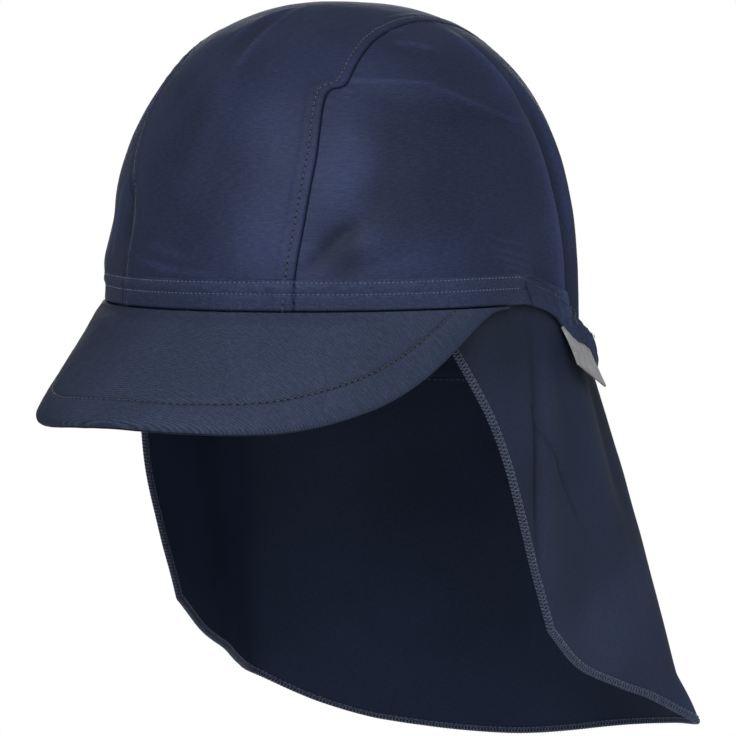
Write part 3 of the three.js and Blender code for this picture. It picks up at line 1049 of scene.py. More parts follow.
class Needle:
    """Sews rows of stitches and overlocked edges with Geometry Nodes."""

    def __init__(self, shadow: bpy.types.Material) -> None:
        """Builds the two node trees, one for stitches and one for overlock loops.

        Args:
            shadow: Finish of the dark lenses painted as shade in the needle holes.
        """
        self.shadow = shadow
        self.row_tree = self._row_tree()
        self.loop_tree = self._loop_tree()

    def _start_tree(self, name: str, sizes: Sequence[str]) -> tuple[bpy.types.NodeTree, bpy.types.Node]:
        """Starts a tree with a geometry, named sizes and a material as its inputs.

        Args:
            name: Name of the tree.
            sizes: Names of its float inputs.

        Returns:
            The tree and its group input.
        """
        tree = bpy.data.node_groups.new(name, "GeometryNodeTree")
        tree.is_modifier = True
        tree.interface.new_socket("Path", in_out="INPUT", socket_type="NodeSocketGeometry")
        for size in sizes:
            tree.interface.new_socket(size, in_out="INPUT", socket_type="NodeSocketFloat")
        tree.interface.new_socket("Thread", in_out="INPUT", socket_type="NodeSocketMaterial")
        tree.interface.new_socket("Shadow", in_out="INPUT", socket_type="NodeSocketMaterial")
        tree.interface.new_socket("Stitches", in_out="OUTPUT", socket_type="NodeSocketGeometry")
        return tree, tree.nodes.new("NodeGroupInput")

    def _place_along(
        self, tree: bpy.types.NodeTree, given: bpy.types.Node, shape: bpy.types.NodeSocket
    ) -> None:
        """Repeats a shape along the path, turned with it, and closes the tree.

        Args:
            tree: The tree to finish.
            given: Its group input.
            shape: The shape to repeat.
        """
        curve = add_node(tree, "GeometryNodeMeshToCurve", {"Mesh": given.outputs["Path"]}).outputs["Curve"]
        row = add_node(
            tree,
            "GeometryNodeResampleCurve",
            {"Curve": curve, "Length": given.outputs["Pitch"]},
            mode="LENGTH",
        ).outputs["Curve"]
        out = add_node(
            tree, "GeometryNodeInputNamedAttribute", {"Name": FACE_OUT}, data_type="FLOAT_VECTOR"
        ).outputs["Attribute"]
        tangent = add_node(tree, "GeometryNodeInputTangent").outputs["Tangent"]
        turn = add_node(
            tree,
            "FunctionNodeAxesToRotation",
            {"Primary Axis": out, "Secondary Axis": tangent},
            primary_axis="Z",
            secondary_axis="X",
        ).outputs["Rotation"]
        lift = add_node(
            tree, "ShaderNodeVectorMath", {0: out, "Scale": given.outputs["Lift"]}, operation="SCALE"
        ).outputs[0]
        moved = add_node(tree, "GeometryNodeSetPosition", {"Geometry": row, "Offset": lift}).outputs[0]
        spread = add_node(
            tree, "GeometryNodeInstanceOnPoints", {"Points": moved, "Instance": shape, "Rotation": turn}
        ).outputs["Instances"]
        real = add_node(tree, "GeometryNodeRealizeInstances", {"Geometry": spread}).outputs["Geometry"]
        smooth = add_node(tree, "GeometryNodeSetShadeSmooth", {"Geometry": real}).outputs["Geometry"]
        dressed = add_node(
            tree, "GeometryNodeSetMaterial", {"Geometry": smooth, "Material": given.outputs["Thread"]}
        ).outputs["Geometry"]
        hole = add_node(
            tree, "GeometryNodeInputNamedAttribute", {"Name": HOLE}, data_type="BOOLEAN"
        ).outputs["Attribute"]
        shadowed = add_node(
            tree,
            "GeometryNodeSetMaterial",
            {"Geometry": dressed, "Selection": hole, "Material": given.outputs["Shadow"]},
        ).outputs["Geometry"]
        add_node(tree, "NodeGroupOutput", {"Stitches": shadowed})

    def _row_tree(self) -> bpy.types.NodeTree:
        """Builds the tree of a row of plain stitches, each a short rounded grain of thread.

        Returns:
            The tree.
        """
        tree, given = self._start_tree("stitch_row", ("Pitch", "Length", "Thickness", "Lift", "Hole"))
        grain = add_node(
            tree, "GeometryNodeMeshUVSphere", {"Segments": 6, "Rings": 5, "Radius": 0.5}
        ).outputs["Mesh"]
        turned = add_node(
            tree, "GeometryNodeTransform", {"Geometry": grain, "Rotation": (0.0, math.pi / 2.0, 0.0)}
        ).outputs["Geometry"]
        size = add_node(
            tree,
            "ShaderNodeCombineXYZ",
            {"X": given.outputs["Length"], "Y": given.outputs["Thickness"], "Z": given.outputs["Thickness"]},
        ).outputs[0]
        stitch = add_node(
            tree, "GeometryNodeTransform", {"Geometry": turned, "Scale": size}
        ).outputs["Geometry"]
        # A flat dark lens half a pitch on: painted shade of the needle hole.
        lens = add_node(
            tree, "GeometryNodeMeshUVSphere", {"Segments": 8, "Rings": 4, "Radius": 0.5}
        ).outputs["Mesh"]
        marked = add_node(
            tree,
            "GeometryNodeStoreNamedAttribute",
            {"Geometry": lens, "Name": HOLE, "Value": True},
            data_type="BOOLEAN",
            domain="FACE",
        ).outputs["Geometry"]
        half_pitch = add_node(
            tree, "ShaderNodeMath", {0: given.outputs["Pitch"], 1: 0.5}, operation="MULTIPLY"
        ).outputs[0]
        shallow = add_node(
            tree, "ShaderNodeMath", {0: given.outputs["Hole"], 1: 0.35}, operation="MULTIPLY"
        ).outputs[0]
        hole_size = add_node(
            tree,
            "ShaderNodeCombineXYZ",
            {"X": given.outputs["Hole"], "Y": given.outputs["Hole"], "Z": shallow},
        ).outputs[0]
        hole_place = add_node(tree, "ShaderNodeCombineXYZ", {"X": half_pitch}).outputs[0]
        hole = add_node(
            tree, "GeometryNodeTransform", {"Geometry": marked, "Translation": hole_place, "Scale": hole_size}
        ).outputs["Geometry"]
        pair = tree.nodes.new("GeometryNodeJoinGeometry")
        tree.links.new(hole, pair.inputs[0])
        tree.links.new(stitch, pair.inputs[0])
        self._place_along(tree, given, pair.outputs[0])
        return tree

    def _loop_tree(self) -> bpy.types.NodeTree:
        """Builds the tree of an overlocked edge: slanted loops of thread round the cloth's edge.

        Returns:
            The tree.
        """
        tree, given = self._start_tree(
            "overlock_edge", ("Pitch", "Width", "Height", "Thickness", "Slant", "Lift")
        )
        ring = add_node(
            tree, "GeometryNodeCurvePrimitiveCircle", {"Resolution": 8, "Radius": 0.5}
        ).outputs["Curve"]
        upright = add_node(
            tree, "GeometryNodeTransform", {"Geometry": ring, "Rotation": (0.0, math.pi / 2.0, 0.0)}
        ).outputs["Geometry"]
        size = add_node(
            tree,
            "ShaderNodeCombineXYZ",
            {"X": 1.0, "Y": given.outputs["Width"], "Z": given.outputs["Height"]},
        ).outputs[0]
        flat = add_node(
            tree, "GeometryNodeTransform", {"Geometry": upright, "Scale": size}
        ).outputs["Geometry"]
        slant = add_node(tree, "ShaderNodeCombineXYZ", {"Z": given.outputs["Slant"]}).outputs[0]
        leaning = add_node(
            tree, "GeometryNodeTransform", {"Geometry": flat, "Rotation": slant}
        ).outputs["Geometry"]
        half = add_node(
            tree, "ShaderNodeMath", {0: given.outputs["Thickness"], 1: 0.5}, operation="MULTIPLY"
        ).outputs[0]
        profile = add_node(
            tree, "GeometryNodeCurvePrimitiveCircle", {"Resolution": 4, "Radius": half}
        ).outputs["Curve"]
        loop = add_node(
            tree, "GeometryNodeCurveToMesh", {"Curve": leaning, "Profile Curve": profile}
        ).outputs["Mesh"]
        self._place_along(tree, given, loop)
        return tree

    def _sew(
        self,
        name: str,
        tree: bpy.types.NodeTree,
        path: np.ndarray,
        out: np.ndarray,
        values: dict[str, float],
        thread: bpy.types.Material,
    ) -> bpy.types.Object:
        """Runs a tree along a path and keeps its result as a plain mesh.

        Args:
            name: Name of the piece.
            tree: The tree to run.
            path: Places along the row, in millimetres.
            out: Direction that the cloth faces at each place.
            values: The tree's sizes, in its own units.
            thread: Material of the thread.

        Returns:
            The piece.
        """
        mesh = bpy.data.meshes.new(name + "_path")
        mesh.from_pydata((path * MILLIMETRE).tolist(), [(i, i + 1) for i in range(len(path) - 1)], [])
        mesh.attributes.new(FACE_OUT, "FLOAT_VECTOR", "POINT").data.foreach_set("vector", out.ravel())
        guide = bpy.data.objects.new(name + "_path", mesh)
        bpy.context.scene.collection.objects.link(guide)
        modifier = guide.modifiers.new("sewing", "NODES")
        modifier.node_group = tree
        for socket in tree.interface.items_tree:
            if socket.in_out == "INPUT" and socket.name in values:
                modifier[socket.identifier] = values[socket.name]
            elif socket.in_out == "INPUT" and socket.name in ("Thread", "Shadow"):
                modifier[socket.identifier] = thread if socket.name == "Thread" else self.shadow
        bpy.context.view_layer.update()
        seen = guide.evaluated_get(bpy.context.evaluated_depsgraph_get())
        sewn = bpy.data.meshes.new_from_object(seen)
        piece = bpy.data.objects.new(name, sewn)
        bpy.context.scene.collection.objects.link(piece)
        guide.modifiers.remove(modifier)
        bpy.data.objects.remove(guide)
        bpy.data.meshes.remove(mesh)
        return piece

    def row(
        self, name: str, path: np.ndarray, out: np.ndarray, stitch: StitchRow, thread: bpy.types.Material
    ) -> bpy.types.Object:
        """Sews a row of plain stitches.

        Args:
            name: Name of the piece.
            path: Places along the row, in millimetres.
            out: Direction that the cloth faces at each place.
            stitch: Sizes of the stitches.
            thread: Material of the thread.

        Returns:
            The piece.
        """
        values = {
            "Pitch": stitch.pitch * MILLIMETRE,
            "Length": stitch.length * MILLIMETRE,
            "Thickness": stitch.thickness * MILLIMETRE,
            "Lift": stitch.lift * MILLIMETRE,
            "Hole": stitch.hole * MILLIMETRE,
        }
        return self._sew(name, self.row_tree, path, out, values, thread)

    def overlock(
        self,
        name: str,
        path: np.ndarray,
        out: np.ndarray,
        width: float,
        height: float,
        pitch: float,
        thickness: float,
        slant: float,
        thread: bpy.types.Material,
    ) -> bpy.types.Object:
        """Wraps an edge in overlock loops.

        Args:
            name: Name of the piece.
            path: Places along the middle of the loops, in millimetres.
            out: Direction that the cloth faces at each place.
            width: How far the loops reach across the edge.
            height: Height of the loops over both faces of the cloth.
            pitch: Distance from loop to loop.
            thickness: Thickness of the thread.
            slant: Lean of the loops, in degrees.
            thread: Material of the thread.

        Returns:
            The piece.
        """
        values = {
            "Pitch": pitch * MILLIMETRE,
            "Width": width * MILLIMETRE,
            "Height": height * MILLIMETRE,
            "Thickness": thickness * MILLIMETRE,
            "Slant": math.radians(slant),
            "Lift": 0.0,
        }
        return self._sew(name, self.loop_tree, path, out, values, thread)


# ---- The crown


class SeamWidth(NamedTuple):
    """Half widths of the centre panel as shares, by degrees over the head from the front."""

    over: float
    left: float
    right: float


@dataclass
class Crown:
    """Three panels of stretched knit with two long seams, topstitched on the centre panel's side."""

    form: CapForm
    wardrobe: Wardrobe
    needle: Needle
    cloth: float = 1.2
    strip_half_width: float = 33.0
    seam_depth: float = 0.5
    seam_spread: float = 0.3
    allowance_height: float = 0.3
    allowance_width: float = 6.4
    allowance_rise: tuple[float, float] = (0.3, 1.0)
    allowance_fade: float = 1.5
    stitch_sink: float = 0.75
    stitch_groove: float = 0.45
    seam_shadow: tuple[tuple[float, float], ...] = ((0.95, 0.2), (0.15, 0.6))
    topstitch_offset: float = 2.9
    pucker_height: float = 0.13
    pucker_pitch: float = 4.4
    pucker_reach: float = 1.6
    pucker_spread: float = 2.2
    topstitch: StitchRow = StitchRow(pitch=2.0, length=1.15, thickness=0.42, lift=-0.03, hole=0.82)
    rows: int = 330
    strip_columns: int = 104
    left_columns: int = 144
    right_columns: int = 64
    seam_line: tuple[SeamWidth, ...] = (
        SeamWidth(0, 0.945, 0.96),
        SeamWidth(7, 0.945, 0.96),
        SeamWidth(14, 0.965, 0.94),
        SeamWidth(22, 0.992, 0.9),
        SeamWidth(30, 1.0, 1.02),
        SeamWidth(37, 0.995, 1.1),
        SeamWidth(43, 0.96, 1.13),
        SeamWidth(48, 0.922, 1.14),
        SeamWidth(50.8, 0.912, 1.14),
        SeamWidth(52.4, 0.94, 1.14),
        SeamWidth(53.9, 1.0, 1.14),
        SeamWidth(56, 1.012, 1.13),
        SeamWidth(62, 0.988, 1.1),
        SeamWidth(72, 0.96, 1.06),
        SeamWidth(110, 0.98, 0.99),
        SeamWidth(200, 1.0, 1.0),
    )

    def strip(self, across: np.ndarray, along: np.ndarray) -> np.ndarray:
        """Places on the form under the centre panel.

        Args:
            across: Share across, from -1 at the right seam to 1 at the left seam.
            along: Share along, from the front foot to the rear foot.

        Returns:
            The places.
        """
        across, along = np.broadcast_arrays(np.asarray(across, float), np.asarray(along, float))
        x = across * self.strip_half_width
        zero = np.zeros(x.shape)

        def foot_over(around: float, forward: float) -> np.ndarray:
            """Degrees over the head of the panel's front or rear foot."""
            height = zero + self.form.foot(np.array(around))
            point = self.form.meet(np.stack([x, zero, height], -1), np.array([0.0, forward, 0.0]))
            return np.degrees(np.arctan2(height, -point[..., 1]))

        over = lerp(foot_over(0.0, -1.0), 360.0 + foot_over(180.0, 1.0), along)
        turned = np.radians(over)
        direction = np.stack([zero, -np.cos(turned), np.sin(turned)], -1)
        left = read_column(self.seam_line, "over", "left", over)
        right = read_column(self.seam_line, "over", "right", over)
        width = self.strip_half_width * lerp(right, left, ease(across, -0.6, 0.6))
        return self.form.meet(np.stack([across * width, zero, zero], -1), direction)

    def panel(
        self, name: str, base: np.ndarray, from_seam: np.ndarray, allowance: float, node: str, turned: bool
    ) -> bpy.types.Object:
        """Makes one panel from places on the form.

        Args:
            name: Name of the piece.
            base: Grid of places on the form.
            from_seam: Distance of each place from the nearest seam.
            allowance: Height of the seam allowance under this panel's edge.
            node: Solid that it replaces.
            turned: Whether the knit's courses run with the grid's columns instead of its rows.

        Returns:
            The piece.
        """
        height = self.form.crown_relief(base)
        height -= self.seam_depth * bell(from_seam, 0.0, self.seam_spread)
        past = ease(from_seam, self.allowance_width - self.allowance_fade, self.allowance_width)
        height += allowance * ease(from_seam, *self.allowance_rise) * (1.0 - past)
        height -= self.stitch_sink * allowance * bell(from_seam, self.topstitch_offset, self.stitch_groove)
        length = run_along(base, 0)
        sway = cloth_wave(base, 11.0, 17)
        pucker = np.sin(length * (2.0 * math.pi / self.pucker_pitch) + 1.3 * sway)
        reach = self.topstitch_offset if allowance > 0.0 else self.pucker_reach
        pucker *= 0.6 + 0.4 * sway
        height += self.pucker_height * pucker * bell(from_seam, reach, self.pucker_spread)
        outer = self.form.off(base, height)
        inner = self.form.off(base, height - self.cloth)
        # Painted shade along the seam's groove.
        shade = sum(depth * bell(from_seam, 0.0, spread) for depth, spread in self.seam_shadow)
        finishes = (self.wardrobe.crown, self.wardrobe.inside)
        # The crown's tone: stretch tone with painted light and painted shade.
        tone = self.form.painted_light_and_stretch_tone(base)
        middle = (outer + inner) / 2.0
        down, side_on = run_along(middle, 0), run_along(middle, 1)
        uv = np.stack([down, side_on] if turned else [side_on, down], -1)
        piece = cloth_shell(name, outer, inner, finishes, np.clip(shade, 0.0, 1.0), uv, tone)
        length = float(run_along(middle, 0)[-1].max()) * MILLIMETRE
        seat_piece(piece, (node,))
        return piece

    def build(self) -> list[bpy.types.Object]:
        """Builds the three panels and their topstitching.

        Returns:
            The pieces.
        """
        along = np.linspace(0.0, 1.0, self.rows + 1)[:, None]
        across = lerp(-1.0, 1.0, closer_at_ends(self.strip_columns))[None, :]
        base = self.strip(across, along)
        travelled = run_along(base, 1)
        from_seam = np.minimum(travelled, travelled[:, -1:] - travelled)
        pieces = [
            self.panel(
                "crown_centre_cloth", base, from_seam, self.allowance_height, "crown_centre_panel", False
            )
        ]
        for side in Side:
            pieces.append(self.side_panel(side))
            pieces.append(self.topstitching(side, base, travelled))
        return pieces

    def side_panel(self, side: Side) -> bpy.types.Object:
        """Builds the panel of one side.

        Args:
            side: Which side.

        Returns:
            The piece.
        """
        along = np.linspace(0.0, 1.0, self.rows + 1)
        seam = self.strip(np.full(along.shape, float(side.value)), along)
        seam[..., 0] *= side.value
        ends = np.degrees(np.arctan2(seam[[0, -1], 0], -seam[[0, -1], 1]))
        around = lerp(ends[0], ends[1], along)
        low = unit(self.form.at(around, self.form.foot(around)))[:, None, :]
        high = unit(seam)[:, None, :]
        columns = self.left_columns if side is Side.LEFT else self.right_columns
        up = closer_at_ends(columns, 0.55)[None, :, None]
        angle = np.arccos(np.clip((low * high).sum(-1, keepdims=True), -1.0, 1.0))
        turn = np.maximum(np.sin(angle), 1e-6)
        swept = (low * np.sin((1.0 - up) * angle) + high * np.sin(up * angle)) / turn
        direction = np.where(angle < 1e-4, np.broadcast_to(high, swept.shape), swept)
        base = self.form.meet(np.zeros(3), direction)
        base[..., 0] *= side.value
        travelled = run_along(base, 1)
        from_seam = travelled[:, -1:] - travelled
        word = side.name.lower()
        return self.panel(f"crown_{word}_cloth", base, from_seam, 0.0, f"crown_side_panel_{word}", True)

    def topstitching(self, side: Side, base: np.ndarray, travelled: np.ndarray) -> bpy.types.Object:
        """Sews the topstitch row beside one seam.

        Args:
            side: Which seam.
            base: The centre panel's grid of places on the form.
            travelled: Distance of each place from the right seam.

        Returns:
            The stitches.
        """
        path = []
        for places, run in zip(base, travelled):
            want = run[-1] - self.topstitch_offset if side is Side.LEFT else self.topstitch_offset
            path.append([np.interp(want, run, places[:, axis]) for axis in range(3)])
        line = np.array(path)
        out = self.form.normal(line)
        height = self.form.crown_relief(line) + 0.5 * self.allowance_height
        word = side.name.lower()
        stitches = self.needle.row(
            f"seam_topstitch_{word}",
            self.form.off(line, height),
            out,
            self.topstitch,
            self.wardrobe.seam_thread,
        )
        return seat_piece(stitches)


# ---- The band and the casing


@dataclass
class HeadBand:
    """Turned hem round the front and the gathered elastic casing at the back."""

    form: CapForm
    wardrobe: Wardrobe
    needle: Needle
    thickness: float = 1.8
    stand: float = 0.3
    upper_row: float = 8.6
    lower_row: float = 5.1
    row_sink: float = 0.16
    row_groove: float = 0.5
    row_swell: float = 0.14
    swell_spread: float = 1.3
    mottle_spread: float = 2.2
    seam_half_width: float = 31.2
    seam_stitch: StitchRow = StitchRow(pitch=2.0, length=1.35, thickness=0.4, lift=-0.03, hole=0.62)
    twin_stitch: StitchRow = StitchRow(pitch=1.48, length=0.85, thickness=0.4, lift=0.0, hole=0.34)
    allowance_offset: float = 2.9
    gathers: int = 52
    gather_height: float = 0.7
    hem_line: float = 6.9
    hem_ridge: float = 0.45
    hem_ridge_spread: float = 0.55
    hem_groove: float = 0.3
    hem_groove_above: float = 1.3
    hem_groove_spread: float = 0.8
    pleat_lean: float = 5.5
    pleat_height: float = 0.55
    band_columns: int = 420
    casing_columns: int = 460
    height_rows: int = 34

    def round_edge(self, above: np.ndarray, radius: float) -> np.ndarray:
        """Share of the full thickness near a folded lower edge.

        Args:
            above: Height above the fold.
            radius: Radius of the fold.

        Returns:
            The share, 0 at the very edge.
        """
        return np.sqrt(np.clip(1.0 - (1.0 - np.clip(above / radius, 0.0, 1.0)) ** 2, 0.0, 1.0))

    def band_relief(self, around: np.ndarray, above: np.ndarray, base: np.ndarray) -> np.ndarray:
        """How far the band's outer face stands off the form.

        Args:
            around: Degrees round the head.
            above: Heights above the rim.
            base: Places on the form.

        Returns:
            The distance there.
        """
        share = above / self.form.hem(around)
        height = self.stand * ease(1.0 - share, 0.0, 0.25)
        for row in (self.upper_row, self.lower_row):
            height -= self.row_sink * bell(above, row, self.row_groove)
        between_rows = (self.upper_row + self.lower_row) / 2.0
        height += self.row_swell * bell(above, between_rows, self.swell_spread)
        height += self.form.crown_relief(base) * ease(share, 0.0, 1.0)
        inward = self.seam_half_width - np.abs(base[..., 0])
        front = ease(-base[..., 1], 0.0, 20.0)
        over_allowance = ease(inward, 0.3, 1.0) * (1.0 - ease(inward, 4.6, 6.2))
        height += (0.35 * over_allowance - 0.5 * bell(inward, 0.0, 0.35)) * front
        height -= 0.2 * bell(inward, self.allowance_offset, 0.45) * front
        loose = 1.0 - ease(share, 0.88, 1.0)
        between = bell(above, between_rows, self.mottle_spread)
        height += (0.1 * cloth_wave(base, 15.0, 21) + 0.1 * cloth_wave(base, 2.6, 22) * between) * loose
        return height

    def roll(
        self,
        name: str,
        node: str,
        base: np.ndarray,
        above: np.ndarray,
        relief: np.ndarray,
        shade: Optional[np.ndarray] = None,
    ) -> bpy.types.Object:
        """Makes a roll of turned cloth along the rim, rounded at its lower edge.

        Args:
            name: Name of the piece.
            node: Solid that it replaces.
            base: Grid of places on the form.
            above: Their heights above the rim.
            relief: How far the roll's outer face stands off the form.
            shade: Shadow in its seams, if it has any.

        Returns:
            The piece.
        """
        half = self.round_edge(above, self.thickness / 2.0) * self.thickness / 2.0
        middle = relief - self.thickness / 2.0
        outer, inner = self.form.off(base, middle + half), self.form.off(base, middle - half)
        finishes = (self.wardrobe.band, self.wardrobe.inside)
        # The crown's tone carried onto the roll: stretch tone with painted light and painted shade.
        tone = self.form.painted_light_and_stretch_tone(base)
        piece = cloth_shell(name, outer, inner, finishes, shade, stretch=tone)
        return seat_piece(piece, (node,))

    def sew(
        self,
        name: str,
        line: np.ndarray,
        relief: np.ndarray,
        stitch: StitchRow,
        thread: bpy.types.Material,
    ) -> bpy.types.Object:
        """Sews a row of stitches on the roll.

        Args:
            name: Name of the stitches.
            line: Places on the form along the row.
            relief: How far the cloth's face stands off the form there.
            stitch: Sizes of the stitches.
            thread: Material of the thread.

        Returns:
            The stitches.
        """
        row = self.needle.row(name, self.form.off(line, relief), self.form.normal(line), stitch, thread)
        return seat_piece(row)

    def front_band(self) -> list[bpy.types.Object]:
        """Builds the front band with its twin stitching.

        Returns:
            The band and its stitch rows.
        """
        share = closer_at_ends(self.height_rows, 0.7)[:, None]
        end = self.form.band_end + 1.0 - self.pleat_lean * share
        around = end * np.linspace(-1.0, 1.0, self.band_columns + 1)[None, :]
        above = share * self.form.hem(around)
        base = self.form.at(around, self.form.rim(around) + above)
        relief = self.band_relief(around, above, base)
        seam = np.abs(np.abs(base[..., 0]) - self.seam_half_width)
        # Painted shade along the seam lines on the band.
        shade = 0.95 * bell(seam, 0.0, 0.26) * ease(-base[..., 1], 0.0, 20.0)
        pieces = [self.roll("front_band_cloth", "front_hem_band", base, above, relief, shade)]
        stop = self.form.band_end - self.pleat_lean
        line_around = np.linspace(-stop, stop, 260)
        for word, level in (("upper", self.upper_row), ("lower", self.lower_row)):
            height = np.full(line_around.shape, level) + 0.12 * np.sin(line_around / 9.0)
            line = self.form.at(line_around, self.form.rim(line_around) + height)
            relief = self.band_relief(line_around, height, line)
            thread = self.wardrobe.thread
            pieces.append(self.sew(f"band_{word}_stitches", line, relief, self.twin_stitch, thread))
        for side in Side:
            pieces.append(self.seam_end(side))
        return pieces

    def seam_end(self, side: Side) -> bpy.types.Object:
        """Carries one seam's topstitching on down over the band.

        Args:
            side: Which seam.

        Returns:
            The stitches.
        """
        x = self.seam_half_width - self.allowance_offset
        level = np.linspace(self.form.band_height - 0.2, 1.0, 12)
        zero = np.zeros(level.shape)
        inside = np.stack([zero + side.value * x, zero, self.form.rim(zero) + level], -1)
        line = self.form.meet(inside, np.array([0.0, -1.0, 0.0]))
        around = np.degrees(np.arctan2(line[..., 0], -line[..., 1]))
        relief = self.band_relief(around, level, line)
        name = f"band_seam_stitches_{side.name.lower()}"
        return self.sew(name, line, relief, self.seam_stitch, self.wardrobe.seam_thread)

    def casing_relief(self, around: np.ndarray, above: np.ndarray) -> np.ndarray:
        """How far the casing's outer face stands off the form, gathers included.

        Args:
            around: Degrees round the head.
            above: Heights above the rim.

        Returns:
            The distance there.
        """
        share = above / self.form.hem(around)
        end = self.form.band_end + 1.0 - self.pleat_lean * share
        along = (around - end) / (360.0 - 2.0 * end)
        wander = 0.35 * np.sin(along * 19.0) + 0.3 * np.sin(along * 41.0 + 1.0)
        wave = np.sin(2.0 * math.pi * self.gathers * along + 4.0 * wander + 1.2 * share)
        ends = ease(along, 0.0, 0.1) * ease(1.0 - along, 0.0, 0.1)
        below_hem = 1.0 - ease(above, self.hem_line - 0.8, self.hem_line + 1.2)
        full = self.gather_height * (0.15 + 0.85 * ends) * np.sin(math.pi * np.clip(share, 0.02, 0.8)) ** 0.6
        height = self.form.bulge(around, above) + self.stand * below_hem
        height += full * (0.5 + 0.5 * wave) * (0.25 + 0.75 * below_hem) * ease(1.0 - share, 0.0, 0.2)
        height += self.hem_ridge * bell(above, self.hem_line, self.hem_ridge_spread)
        height -= self.hem_groove * bell(above, self.hem_line + self.hem_groove_above, self.hem_groove_spread)
        from_pleat = np.minimum(along, 1.0 - along) * (360.0 - 2.0 * end)
        return height + self.pleat_height * bell(from_pleat, 0.0, 0.8) * ease(1.0 - share, 0.0, 0.3)

    def rear_casing(self) -> list[bpy.types.Object]:
        """Builds the gathered casing with its hem stitches.

        Returns:
            The casing and its stitch row.
        """
        share = closer_at_ends(self.height_rows, 0.6)[:, None]
        start = self.form.band_end + 1.0 - self.pleat_lean * share
        around = lerp(start, 360.0 - start, np.linspace(0.0, 1.0, self.casing_columns + 1)[None, :])
        above = share * self.form.hem(around)
        base = self.form.at(around, self.form.rim(around) + above)
        relief = self.casing_relief(around, above) + self.form.crown_relief(base) * ease(share, 0.0, 1.0)
        casing = self.roll("rear_casing_cloth", "rear_elastic_casing", base, above, relief)
        line_around = np.linspace(self.form.band_end + 2.0, 358.0 - self.form.band_end, 300)
        height = np.full(line_around.shape, self.hem_line - 0.5)
        line = self.form.at(line_around, self.form.rim(line_around) + height)
        relief = self.casing_relief(line_around, height) + self.form.crown_relief(line)
        row = self.sew("casing_stitches", line, relief, self.twin_stitch, self.wardrobe.peak_thread)
        return [casing, row]

    def build(self) -> list[bpy.types.Object]:
        """Builds the band and the casing.

        Returns:
            The pieces.
        """
        return self.front_band() + self.rear_casing()


# ---- The peak


class PeakSection(NamedTuple):
    """Length as a share and slope in degrees below level, by degrees round the head."""

    around: float
    length: float
    slope: float


